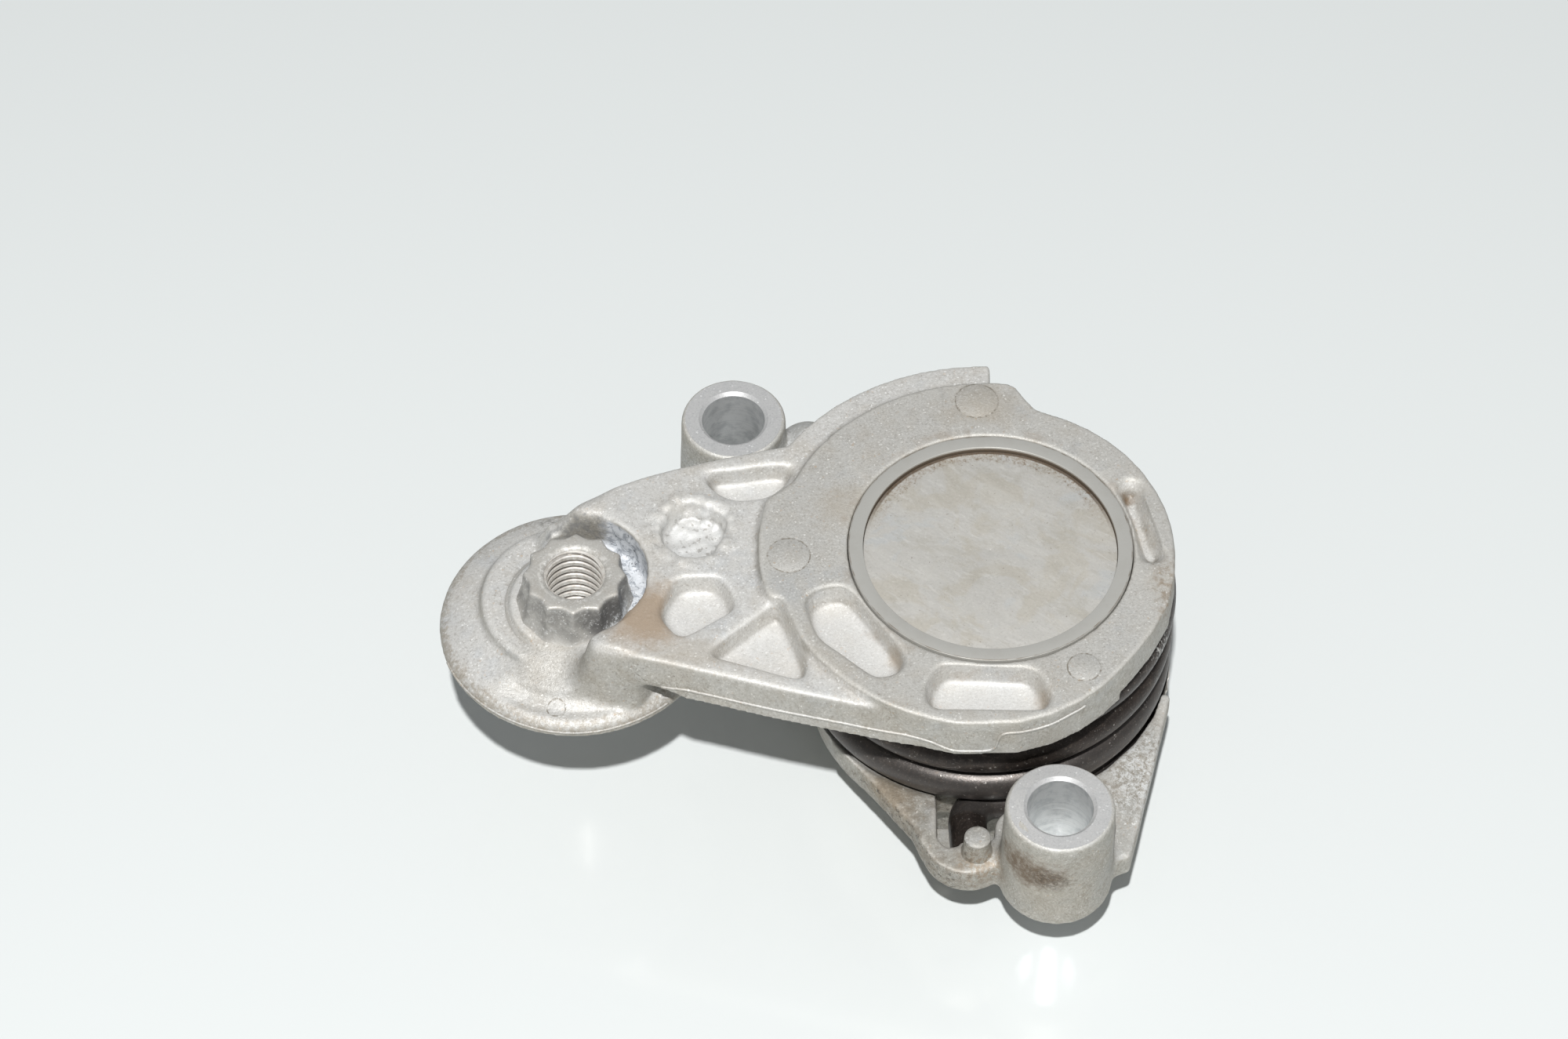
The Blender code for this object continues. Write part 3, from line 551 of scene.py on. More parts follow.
def rim_line():
    """The same bead round the front of the shield's rim."""
    angles = np.radians(np.linspace(-158, -47, 90))
    radius = 22.62 - 0.02 * np.abs(np.sin(angles * 9))
    path = np.stack((ARM_END[0] + radius * np.cos(angles), ARM_END[1] + radius * np.sin(angles),
                     SHIELD_TOP - 6.1 + 0.12 * np.sin(angles * 5)), axis=1)
    return tube("rim_line", path, 0.2, 10)


def washer(name, node, outer, bore, ease):
    """A ring or a disc as high as a node, with eased corners."""
    low, high = size_of(node)
    profile = [(outer, high.z), (outer, low.z), (bore, low.z), (bore, high.z)]
    return turned(name, eased(profile, ease), steps=240)


def post():
    """The stout pin that the spring's tail hooks behind, with its flat top."""
    top = BASE_TOP - 10.4
    profile = [(0, top + 0.05), (1.5, top + 0.04), (1.95, top - 0.06), (2.17, top - 0.3), (2.3, top - 3.0),
               (3.0, top - 5.6), (4.0, top - 6.8), (0, top - 6.8)]
    return turned("tail_post", profile, POST, 72)


def boss_liner(name, centre, top):
    """The machined top face and bore of a bolt boss."""
    bore = 5.25
    rear = 14.46
    profile = [(8.25, top + 0.04), (8.3, top - 0.3), (6.9, top - 0.5), (6.9, rear), (bore + 0.4, rear),
               (bore, rear + 0.4), (bore, top - 0.75), (bore + 0.12, top - 0.45), (bore + 0.7, top + 0.04)]
    return turned(name, profile, centre, 144, sharp=25)


# The spring

WIRE_R = 3.2
COIL_R = 27.8
COIL_START = -86.5
COIL_TURNS = 3.54
COIL_LOW_Z, COIL_HIGH_Z = 16.2, 40.0
COIL_FORM = [(0.0, -0.8, 0.0), (0.1, -1.4, 0.055), (0.35, 0.0, 0.126), (1.0, 0.0, 0.298), (2.0, 0.0, 0.622),
             (3.0, 0.0, 0.916), (3.3, 0.0, 0.992), (COIL_TURNS, 0.0, 1.0)]
BEND_R = 5.2
TAIL_LEG = 4.7


def coil_centre(turn):
    turns, changes, rises = zip(*COIL_FORM)
    window = np.linspace(-0.06, 0.06, 7)
    spread = np.clip(turn + window, 0, COIL_TURNS)
    radius = COIL_R + np.interp(spread, turns, changes).mean()
    z = COIL_LOW_Z + (COIL_HIGH_Z - COIL_LOW_Z) * np.interp(spread, turns, rises).mean()
    angle = radians(COIL_START + 360 * turn)
    return np.array((radius * cos(angle), radius * sin(angle), z))


def tail(turn, side):
    """From the coil's end outward: a bend of a quarter turn and a straight leg."""
    start = coil_centre(turn)
    angle = radians(COIL_START + 360 * turn)
    along = np.array((-sin(angle) * side, cos(angle) * side, 0))
    outward = np.array((cos(angle), sin(angle), 0))
    points = []
    for step in range(1, 15):
        bend = radians(90 * step / 14)
        points.append(start + along * BEND_R * sin(bend) + outward * BEND_R * (1 - cos(bend)))
    for step in range(1, 5):
        points.append(start + along * BEND_R + outward * (BEND_R + TAIL_LEG * step / 4))
    return points


def spring():
    turns = np.linspace(0, COIL_TURNS, round(COIL_TURNS * 120))
    path = tail(0, -1)[::-1] + [coil_centre(t) for t in turns] + tail(COIL_TURNS, 1)
    return tube("spring_wire", path, WIRE_R, 28)


# Materials

def linear(*colour):
    """An sRGB colour of 0 to 255 as linear light."""
    return tuple(((c / 255 + 0.055) / 1.055) ** 2.4 if c > 10 else c / 255 / 12.92 for c in colour)


class Shade:
    """A Principled material and short calls for the nodes that feed it."""

    def __init__(self, name, roughness=0.5, metallic=0.0, specular=0.5):
        self.material = bpy.data.materials.new(name)
        self.material.use_nodes = True
        self.tree = self.material.node_tree
        self.shader = self.tree.nodes["Principled BSDF"]
        self.shader.inputs["Roughness"].default_value = roughness
        self.shader.inputs["Metallic"].default_value = metallic
        self.shader.inputs["Specular IOR Level"].default_value = specular
        self.place = self.new("TexCoord").outputs["Object"]

    def new(self, kind):
        return self.tree.nodes.new("ShaderNode" + kind)

    def link(self, value, socket):
        if isinstance(value, bpy.types.NodeSocket):
            self.tree.links.new(value, socket)
        else:
            socket.default_value = value

    def math(self, operation, *values):
        step = self.new("Math")
        step.operation = operation
        for value, socket in zip(values, step.inputs):
            self.link(value, socket)
        return step.outputs[0]

    def range(self, value, low, high, start=0.0, end=1.0):
        step = self.new("MapRange")
        step.interpolation_type = "SMOOTHSTEP"
        for given, socket in zip((value, low, high, start, end), step.inputs):
            self.link(given, socket)
        return step.outputs[0]

    def mapped(self, stretch, turn=0.0, middle=(0.0, 0.0, 0.0)):
        """Places about a middle, stretched along axes that are turned about +Z."""
        step = self.new("Mapping")
        step.vector_type = "TEXTURE"
        step.inputs["Location"].default_value = middle
        step.inputs["Scale"].default_value = stretch
        step.inputs["Rotation"].default_value = (0, 0, radians(turn))
        self.link(self.place, step.inputs["Vector"])
        return step.outputs[0]

    def noise(self, size, detail=3.0, rough=0.55, twist=0.0, place=None):
        """Noise from 0 to 1 with lumps of about the given size in millimetres."""
        step = self.new("TexNoise")
        self.link(place or self.place, step.inputs["Vector"])
        step.inputs["Scale"].default_value = 1 / (size * MM)
        step.inputs["Detail"].default_value = detail
        step.inputs["Roughness"].default_value = rough
        step.inputs["Distortion"].default_value = twist
        return step.outputs["Fac"]

    def flecks(self, kind, *cut):
        """The share of places where noise of a size, detail, roughness and twist passes a cut."""
        return self.range(self.noise(*kind), *cut)

    def cells(self, size):
        step = self.new("TexVoronoi")
        self.link(self.place, step.inputs["Vector"])
        step.inputs["Scale"].default_value = 1 / (size * MM)
        return step.outputs["Color"]

    def along(self, axis, low, high):
        step = self.new("SeparateXYZ")
        self.link(self.place, step.inputs[0])
        return self.range(step.outputs[axis], low * MM, high * MM)

    def upward(self, low, high):
        """The share by which a face looks up."""
        parts = self.new("SeparateXYZ")
        self.link(self.new("TexCoord").outputs["Normal"], parts.inputs[0])
        return self.range(parts.outputs["Z"], low, high)

    def attribute(self, name):
        step = self.new("Attribute")
        step.attribute_name = name
        return step.outputs["Fac"]

    def length(self, vector):
        step = self.new("VectorMath")
        step.operation = "LENGTH"
        self.link(vector, step.inputs[0])
        return step.outputs["Value"]

    def patch(self, centre, radii, soft=0.5, ragged=0.35, size=2.0):
        """A ragged blob about a point: 1 in its middle and 0 outside its radii."""
        place = self.mapped(tuple(r * MM for r in radii), middle=tuple(c * MM for c in centre))
        wobble = self.math("MULTIPLY_ADD", self.noise(size, 4.0, 0.65), 2 * ragged, -ragged)
        distance = self.math("ADD", self.length(place), wobble)
        return self.range(distance, 1 - soft, 1.01, 1.0, 0.0)

    def blob(self, centre, radii, soft, ragged, *shares):
        return self.both(self.patch(centre, radii, soft, ragged), *shares)

    def swirls(self, size, low, high):
        """Thin curled streaks, like those of dried salt or wiped oil."""
        wave = self.noise(size, 4.0, 0.7, 2.5)
        ridge = self.math("ABSOLUTE", self.math("SUBTRACT", wave, 0.5))
        return self.range(ridge, high, low)

    def band(self, radius, width, wobble=0.6, size=1.6, centre=(0.0, 0.0)):
        """A ragged band round an upright axis, which is the pivot's unless a centre is given."""
        flat = self.new("VectorMath")
        flat.operation = "MULTIPLY_ADD"
        self.link(self.place, flat.inputs[0])
        flat.inputs[1].default_value = (1, 1, 0)
        flat.inputs[2].default_value = (-centre[0] * MM, -centre[1] * MM, 0)
        reach = width * MM
        away = self.math("ABSOLUTE", self.math("SUBTRACT", self.length(flat.outputs[0]), radius * MM))
        ragged = self.math("MULTIPLY_ADD", self.noise(size, 3.0), 2 * wobble * reach, -wobble * reach)
        return self.range(self.math("ADD", away, ragged), 0.25 * reach, 0.6 * reach, 1.0, 0.0)

    def both(self, *values):
        result = values[0]
        for value in values[1:]:
            result = self.math("MULTIPLY", result, value)
        return result

    def mix(self, share, first, second, blend="MIX"):
        """A blend of two colours: sockets, sRGB triples, or linear light with alpha."""
        step = self.new("Mix")
        step.data_type = "RGBA"
        step.blend_type = blend
        self.link(share, step.inputs["Factor"])
        sockets = [s for s in step.inputs if s.type == "RGBA"]
        for value, socket in zip((first, second), sockets):
            if isinstance(value, tuple) and len(value) == 3:
                value = (*linear(*value), 1.0)
            self.link(value, socket)
        return [s for s in step.outputs if s.type == "RGBA"][0]

    def tinted(self, share, base, tint):
        """A colour times a tint of linear light where the share is 1, with its grain kept."""
        return self.mix(share, base, (*tint, 1.0), "MULTIPLY")

    def layers(self, base, *steps):
        """Colours laid over a base, each with its share."""
        for share, colour in steps:
            base = self.mix(share, base, colour)
        return base

    def bump(self, height, distance, strength=1.0, under=None):
        step = self.new("Bump")
        step.inputs["Strength"].default_value = strength
        step.inputs["Distance"].default_value = distance * MM
        self.link(height, step.inputs["Height"])
        if under:
            self.link(under, step.inputs["Normal"])
        return step.outputs[0]

    def made(self, colour, rough, normal=None):
        """The material, with what feeds its shader."""
        self.link(colour, self.shader.inputs["Base Color"])
        self.link(rough, self.shader.inputs["Roughness"])
        if normal:
            self.link(normal, self.shader.inputs["Normal"])
        return self.material


ALUMINIUM = (207, 206, 203)
PALE = (246, 246, 245)
DUST = (176, 166, 150)
DARK = (66, 60, 54)


def cast_skin(shade, metal):
    """What every cast surface shares: grain, painted glints, a painted highlight on edges, and dirt with
    painted shade in the hollows.
    """
    grain = shade.noise(0.42, 3, 0.75)
    coarse = shade.noise(1, 4, 0.75)
    fine = shade.noise(0.2, 1, 0.5)
    mottle = shade.noise(2.4, 4, 0.65)
    cloud = shade.noise(9, 3, 0.6)
    clustered = shade.range(mottle, 0.4, 0.62, 0.25, 1)
    # Painted glints: a scatter of near-white flakes in the colour, where the cast skin would sparkle
    bright_flakes = shade.both(shade.range(shade.cells(0.27), 0.84, 0.9), clustered, 0.8)
    warm_flakes = shade.both(shade.range(shade.cells(0.33), 0.1, 0.07), clustered, 0.5)
    speck = shade.both(shade.flecks((0.55, 2, 0.6), 0.66, 0.71), shade.range(mottle, 0.48, 0.6))
    # Painted shade with dirt: hollows are darkened brown-grey
    hollow = shade.range(shade.attribute("hollow"), 0.15, 0.95)
    # Painted highlight: convex edges are lightened
    edge = shade.range(shade.attribute("edge"), 0.1, 0.8)
    colour = shade.layers(
        metal,
        (shade.range(cloud, 0.46, 0.68, 0, 0.5), (196, 189, 178)),
        (shade.range(cloud, 0.44, 0.3, 0, 0.5), (196, 199, 202)),
        (shade.range(mottle, 0.5, 0.7, 0, 0.35), (182, 178, 171)),
        (shade.range(coarse, 0.54, 0.7, 0, 0.3), (232, 232, 230)),
        (shade.range(coarse, 0.46, 0.32, 0, 0.3), (168, 164, 158)),
        (shade.range(grain, 0.52, 0.72, 0, 0.5), PALE),
        (shade.range(grain, 0.48, 0.28, 0, 0.55), (150, 146, 140)),
        (bright_flakes, (250, 250, 248)),
        (warm_flakes, (196, 168, 136)),
        (shade.both(hollow, shade.range(mottle, 0.3, 0.6, 0.5, 1), 0.66), (114, 106, 94)),
        (shade.both(edge, 0.45), (230, 228, 223)),
        (shade.both(speck, 0.45), (122, 106, 88)),
    )
    normal = shade.bump(coarse, 0.06, 0.7, shade.bump(grain, 0.08, 0.9, shade.bump(fine, 0.035, 0.9)))
    rough = shade.range(fine, 0.35, 0.65, 0.62, 0.48)
    return colour, normal, rough


def arm_material():
    shade = Shade("arm_cast", metallic=0.28, specular=0.42)
    colour, normal, rough = cast_skin(shade, ALUMINIUM)
    head = shade.along("Z", HEAD_TOP - 0.75, HEAD_TOP - 0.4)
    pocket = shade.attribute("pocket")
    flat = shade.upward(0.4, 0.95)
    low = shade.along("Z", HEAD_TOP - 1.2, HEAD_TOP - 2.6)
    pocket_floor = shade.both(pocket, low, flat, shade.along("X", 21, 19), 0.3)
    tan = shade.blob((-55.8, -13, 48.5), (9.8, 9, 3), 0.7, 0.3, 0.85)
    # Painted shade: a darker patch on the shield's dome, which dims its highlight
    dome_painted_shade = shade.patch((-73, -17.5, 40), (11, 8, 8), 0.7, 0.2)
    rim_dirt = shade.both(shade.band(22, 2.4, 0.5, 3, ARM_END), shade.along("Z", 39, 37),
                          shade.flecks((0.9, 5, 0.75), 0.42, 0.58), 0.5)
    tan_web = shade.blob((-46, -21, 48.5), (18, 4.5, 3), 0.8, 0.5, 0.4)
    warm_back = shade.blob((0, 29, 50), (9, 5, 3), 0.8, 0.5, 0.35)
    warm_left = shade.blob((-24, 8, 50), (7, 7, 3), 0.9, 0.5, 0.4)
    right_rim = shade.blob((29, -8.5, 49), (4.5, 10, 5), 0.7, 0.5,
                           shade.flecks((1.1, 5, 0.75), 0.42, 0.62), 0.6)
    ring_line = shade.both(shade.band(RING_R + 0.2, 0.34, 0.15),
                           shade.flecks((3, 3), 0.35, 0.65, 0.2, 0.7))
    ring_haze = shade.both(shade.band(RING_R + 1.2, 2.4, 0.6), shade.flecks((5, 3), 0.5, 0.68), 0.25)
    outside = shade.range(pocket, 0.8, 0.2, 0.25, 1)
    flank = shade.both(shade.upward(0.92, 0.3), outside)
    upright = shade.both(shade.upward(0.6, 0.2), outside)
    flank_dirt = shade.both(upright, shade.flecks((3.5, 5, 0.75), 0.42, 0.66), 0.4)
    spots = shade.both(upright, shade.flecks((0.5, 4, 0.75), 0.57, 0.63), 0.35)
    end_dirt = shade.both(upright, shade.patch((-54, -24, 44), (15, 6, 6), 0.7, 0.4),
                          shade.flecks((0.6, 5, 0.85, 0.6), 0.52, 0.6),
                          shade.flecks((3, 3, 0.7), 0.42, 0.6), 0.7)
    shield_dirt = shade.blob((-73, 15, 39), (4.5, 1.8, 4), 0.7, 0.5,
                             shade.flecks((0.7, 4, 0.75), 0.42, 0.52), 0.8)
    edge_dirt = shade.blob((-20, -27.5, 38.5), (46, 6, 3.6), 0.3, 0.15,
                           shade.flecks((1.6, 5, 0.75), 0.46, 0.58), 0.6)
    wiped = shade.both(shade.swirls(5, 0.012, 0.03), flank, shade.flecks((7, 2), 0.5, 0.6), 0.4)
    battered = shade.blob((-48.6, 4.4, 46), (8, 7.5, 6), 0.5, 0.4, 0.45)
    battered_dark = shade.blob((-48.6, 4.4, 45), (7.5, 7, 4), 0.5, 0.4,
                               shade.flecks((1.2, 4, 0.7), 0.54, 0.64), 0.55)
    in_recess = shade.both(shade.along("Z", HEAD_TOP - 1.9, HEAD_TOP - 2.5),
                           shade.along("Z", HEAD_TOP - 10.5, HEAD_TOP - 9.6))
    round_nut = shade.patch((*ARM_END, 44.5), (13.6, 13.6, 20), 0.06, 0.02)
    scraped = shade.both(in_recess, round_nut, shade.patch((-57, 1, 44.5), (8.5, 14, 12), 0.25, 0.25))
    soot = shade.both(in_recess, round_nut,
                      shade.patch((-67.5, 8, 44.5), (10, 7, 12), 0.6, 0.4),
                      shade.flecks((1.4, 5, 0.75), 0.4, 0.62, 0.05, 0.7))
    kidney_tan = shade.blob((9, -29, 47), (3, 4, 3.5), 0.7, 0.4, 0.5)
    kidney_tan_left = shade.blob((-14.5, -20, 47), (3.5, 5, 3.5), 0.7, 0.4, 0.45)
    slot_stain = shade.both(shade.patch((23, 11.6, 48.5), (1.7, 1.7, 3), 0.7, 0.4, 1), 0.8)
    outlines = []
    for centre, radius in MARKS:
        broken = shade.flecks((0.7, 2), 0.4, 0.6, 0.2, 1)
        outlines.append(shade.both(shade.band(radius, 0.3, 0.4, 1.2, centre), broken, 0.8))
    blots = shade.both(scraped, shade.flecks((1.5, 5, 0.75, 0.7), 0.48, 0.6), 0.75)
    cracks = shade.both(scraped, shade.flecks((0.7, 3, 0.6, 1), 0.62, 0.66), 0.8)
    colour = shade.tinted(head, colour, (0.83, 0.825, 0.81))
    # Painted shade: faces that turn sideways, outside the pockets, are darkened
    colour = shade.tinted(flank, colour, (0.73, 0.72, 0.69))
    colour = shade.tinted(dome_painted_shade, colour, (0.8, 0.79, 0.77))
    colour = shade.layers(
        colour,
        (pocket_floor, PALE), (tan_web, DUST), (warm_back, DUST), (warm_left, DUST),
        (tan, (172, 151, 128)), (rim_dirt, (146, 134, 116)), (right_rim, (138, 118, 94)),
        (ring_haze, (150, 132, 112)), (ring_line, (112, 98, 84)), (kidney_tan, (158, 138, 112)),
        (kidney_tan_left, (158, 138, 112)), (slot_stain, (120, 96, 68)),
        *((share, (128, 120, 108)) for share in outlines),
        (flank_dirt, (142, 135, 122)), (spots, (104, 95, 84)), (wiped, (206, 204, 198)),
        (end_dirt, (104, 98, 88)), (shield_dirt, (84, 80, 74)), (edge_dirt, (120, 112, 100)),
        (battered, (220, 222, 223)), (battered_dark, (128, 122, 114)),
        (soot, (134, 134, 134)), (scraped, (228, 231, 235)), (blots, (146, 152, 160)),
        (cracks, (88, 92, 98)),
    )
    return shade.made(colour, rough, normal)


def base_material():
    shade = Shade("base_cast", metallic=0.28, specular=0.42)
    colour, normal, rough = cast_skin(shade, (186, 185, 180))
    flank = shade.upward(0.85, 0.3)
    mud = shade.both(flank, shade.flecks((4, 5, 0.75), 0.42, 0.7), 0.55)
    front = shade.along("Y", -18, -28)
    left = shade.both(shade.along("X", 4, -10), front)
    window_wall = shade.patch((-6.5, -35, 16), (5.5, 7, 8), 0.3, 0.1)
    clean = shade.math("SUBTRACT", 1, window_wall)
    left_mud = shade.both(left, clean, shade.flecks((1.6, 5, 0.75), 0.4, 0.6), 0.55)
    black = shade.both(left, clean, shade.upward(0.95, 0.4),
                       shade.flecks((0.9, 4, 0.75), 0.54, 0.6), 0.7)
    boss_stain = shade.both(shade.patch((4.6, -49, 27.6), (9.5, 8, 5.2), 0.7, 0.6, 1.5),
                            shade.flecks((0.8, 5, 0.75), 0.34, 0.6, 0.45, 1))
    stain_core = shade.both(shade.patch((9, -51, 27), (5, 6, 3.4), 0.7, 0.6, 1.3),
                            shade.flecks((0.6, 5, 0.75), 0.4, 0.55), 0.7)
    boss_haze = shade.blob((6, -51, 26), (13, 9, 11), 0.8, 0.5, 0.4)
    wiped = shade.both(shade.swirls(4, 0.012, 0.035), flank, 0.35)
    wiped_dark = shade.both(shade.swirls(3.1, 0.01, 0.03), flank, 0.3)
    tan = shade.blob((-18, -30, 20), (8, 9, 4), 0.8, 0.5, 0.6)
    tan_lobe = shade.blob((-1, -43, 20), (6, 5, 5), 0.8, 0.5,
                          shade.flecks((0.9, 4, 0.7), 0.44, 0.56), 0.6)
    salt = shade.blob((25, -24, 18.5), (9, 15, 7), 0.8, 0.4,
                      shade.flecks((1, 5, 0.8, 1.2), 0.47, 0.56), 0.75)
    salt_dark = shade.blob((25, -22, 18.5), (10, 16, 7), 0.6, 0.4,
                           shade.flecks((1.4, 5, 0.8, 0.8), 0.46, 0.56), 0.6)
    salt_back = shade.blob((-41, 36, 27), (14, 14, 11), 0.6, 0.4,
                           shade.flecks((1, 5, 0.8, 1.2), 0.47, 0.56), 0.6)
    # Painted shade: faces that turn sideways are darkened
    colour = shade.tinted(flank, colour, (0.8, 0.79, 0.76))
    colour = shade.tinted(left, colour, (0.82, 0.8, 0.77))
    colour = shade.layers(
        colour,
        (mud, (150, 142, 128)), (tan, (150, 130, 102)),
        (wiped_dark, (112, 104, 92)), (wiped, (206, 204, 198)),
        (left_mud, (126, 116, 102)), (tan_lobe, (154, 134, 110)),
        (boss_haze, DUST), (boss_stain, (114, 98, 80)), (stain_core, (80, 68, 56)),
        (black, DARK), (salt_dark, (140, 130, 116)), (salt, (238, 240, 240)),
        (salt_back, (236, 238, 238)),
    )
    return shade.made(colour, rough, normal)


def nut_material():
    shade = Shade("nut_cast", metallic=0.3, specular=0.45)
    grain = shade.noise(0.4, 3, 0.7)
    coarse = shade.noise(0.9, 4, 0.75)
    cloud = shade.noise(3, 5, 0.7)
    flank = shade.upward(0.8, 0.2)
    # Painted glints: near-white flakes in the colour
    flakes = shade.both(shade.range(shade.cells(0.22), 0.87, 0.91), 0.5)
    dark_side = shade.both(flank, shade.patch((-61.5, -10.5, 43.5), (6.5, 6.5, 5.5), 0.5, 0.5), 0.75)
    white_side = shade.both(flank, shade.patch((-60.5, -9.5, 41), (5.5, 5.5, 3), 0.6, 0.6, 1.2),
                            shade.range(coarse, 0.46, 0.54), 0.9)
    mottled = shade.both(flank, shade.range(cloud, 0.36, 0.6), 0.65)
    streaked = shade.both(flank, shade.range(coarse, 0.55, 0.64), 0.45)
    # A lighter band round the bore's mouth: a bright chamfer, and partly a painted highlight
    mouth = shade.both(shade.band(5.5, 1.2, 0.3, 1, ARM_END), shade.range(coarse, 0.46, 0.6), 0.4)
    colour = shade.layers(
        (188, 186, 181),
        (shade.range(cloud, 0.42, 0.7, 0, 0.4), (176, 169, 158)),
        (shade.range(coarse, 0.46, 0.34, 0, 0.35), (172, 167, 160)),
        (shade.range(grain, 0.52, 0.75, 0, 0.4), PALE),
        (shade.range(grain, 0.48, 0.28, 0, 0.35), (150, 145, 138)),
        (mouth, (248, 246, 242)),
        # Painted shade: the nut's walls are darker than its top
        (shade.both(flank, 0.4), (160, 158, 154)),
        (mottled, (128, 127, 125)),
        (dark_side, (98, 97, 97)),
        (streaked, (214, 215, 215)),
        (white_side, (230, 233, 235)),
        (flakes, (250, 250, 248)),
    )
    normal = shade.bump(coarse, 0.07, 0.7, shade.bump(grain, 0.05, 0.7))
    return shade.made(colour, shade.range(grain, 0.3, 0.7, 0.58, 0.44), normal)


def thread_material():
    shade = Shade("thread_bright", metallic=0.5)
    wear = shade.noise(0.8, 3, 0.6)
    # Painted shade: the thread's roots are darkened, below the first turns
    root = shade.both(shade.band(THREAD_CREST_R + THREAD_DEPTH, 0.6, 0.05, 1, ARM_END),
                      shade.along("Z", NUT_TOP - 0.9, NUT_TOP - 1.5))
    crest = shade.mix(shade.range(wear, 0.4, 0.7), (244, 241, 236), (218, 212, 204))
    colour = shade.mix(shade.both(root, 0.9), crest, (74, 66, 58))
    return shade.made(colour, shade.range(wear, 0.3, 0.7, 0.44, 0.54))


def machined_material():
    shade = Shade("machined_aluminium", metallic=0.35)
    cloud = shade.noise(1.6, 5, 0.65)
    # Painted glints: near-white flakes in the colour
    flakes = shade.both(shade.range(shade.cells(0.27), 0.85, 0.9), shade.range(cloud, 0.4, 0.6), 0.7)
    grain = shade.noise(0.35, 3, 0.7)
    colour = shade.layers(
        (206, 206, 206),
        (shade.range(cloud, 0.42, 0.7, 0, 0.6), (188, 189, 190)),
        (shade.range(grain, 0.54, 0.75, 0, 0.5), (238, 240, 240)),
        (shade.range(grain, 0.46, 0.3, 0, 0.5), (160, 162, 164)),
        (flakes, (252, 252, 252)),
    )
    return shade.made(colour, shade.range(cloud, 0.35, 0.7, 0.38, 0.52), shade.bump(grain, 0.03, 0.5))


def bore_material():
    shade = Shade("bored_aluminium", metallic=0.75)
    rings = shade.noise(0.35, 2, 0.5, place=shade.mapped((60, 60, 1)))
    cloud = shade.noise(2, 4, 0.6)
    colour = shade.mix(shade.range(cloud, 0.4, 0.7), (232, 233, 233), (206, 208, 209))
    colour = shade.mix(shade.range(rings, 0.5, 0.7, 0, 0.2), colour, (160, 163, 165))
    return shade.made(colour, shade.range(rings, 0.3, 0.7, 0.3, 0.36), shade.bump(rings, 0.04, 1))


def ring_material():
    shade = Shade("ring_steel", metallic=0.4)
    cloud = shade.noise(3, 4, 0.6)
    grain = shade.noise(0.4, 3, 0.7)
    rust = shade.flecks((2.5, 3), 0.4, 0.65, 0.1, 0.7)
    middle = PLATE_TOP + 0.6 * (RING_TOP - PLATE_TOP)
    inner_wall = shade.both(shade.band(PLATE_R + 0.2, 0.5, 0.02), shade.upward(0.8, 0.5),
                            shade.along("Z", middle + 0.2, middle - 0.2), 0.9)
    colour = shade.layers(
        (194, 193, 188),
        (shade.range(cloud, 0.4, 0.7, 0, 0.4), (176, 174, 168)),
        (shade.range(grain, 0.54, 0.75, 0, 0.3), (206, 206, 204)),
        (shade.both(shade.band(RING_R + 0.02, 0.2, 0.15), rust), (120, 104, 86)),
        (inner_wall, (96, 80, 62)),
    )
    return shade.made(colour, shade.range(cloud, 0.3, 0.7, 0.4, 0.5), shade.bump(grain, 0.02, 0.4))


def disc_material():
    shade = Shade("disc_steel", metallic=0.3)
    streaks = shade.noise(1.7, 4, 0.6, 0.5, shade.mapped((2.6, 0.8, 1), turn=-36))
    wide_streaks = shade.noise(4, 4, 0.65, 0.4, shade.mapped((2, 1, 1), turn=-36))
    broad = shade.noise(9, 3, 0.6, 0.6)
    grain = shade.noise(0.45, 3, 0.7)
    back = shade.along("Y", 2, 14)
    crumbs = shade.noise(0.7, 5, 0.8)
    dirt_line = shade.both(shade.band(PLATE_R - 0.1, 0.7, 0.2), back, 0.85)
    dirt = shade.both(shade.band(PLATE_R - 0.7, 2.8, 0.5, 2.5), back, shade.range(crumbs, 0.42, 0.6), 0.6)
    dirt_spots = shade.both(shade.band(PLATE_R - 1, 3.6, 0.6, 3), back,
                            shade.range(crumbs, 0.58, 0.64), 0.7)
    colour = shade.layers(
        (197, 195, 190),
        (shade.range(broad, 0.49, 0.6, 0, 0.45), (188, 181, 166)),
        (shade.range(broad, 0.42, 0.34, 0, 0.5), (192, 196, 198)),
        (shade.range(wide_streaks, 0.5, 0.66, 0, 0.4), (208, 206, 200)),
        (shade.range(wide_streaks, 0.48, 0.34, 0, 0.4), (178, 174, 163)),
        (shade.range(streaks, 0.55, 0.7, 0, 0.45), (222, 220, 215)),
        (shade.range(streaks, 0.45, 0.3, 0, 0.35), (170, 166, 157)),
        (shade.range(grain, 0.55, 0.75, 0, 0.3), (232, 230, 226)),
        (shade.range(grain, 0.45, 0.3, 0, 0.25), (150, 146, 140)),
        (dirt, (146, 128, 106)), (dirt_spots, (106, 84, 62)), (dirt_line, (92, 74, 56)),
        (shade.both(shade.flecks((0.6, 2), 0.72, 0.76), 0.5), (112, 98, 82)),
    )
    normal = shade.bump(grain, 0.02, 0.5, shade.bump(wide_streaks, 0.08, 0.5))
    return shade.made(colour, shade.range(streaks, 0.35, 0.65, 0.6, 0.42), normal)


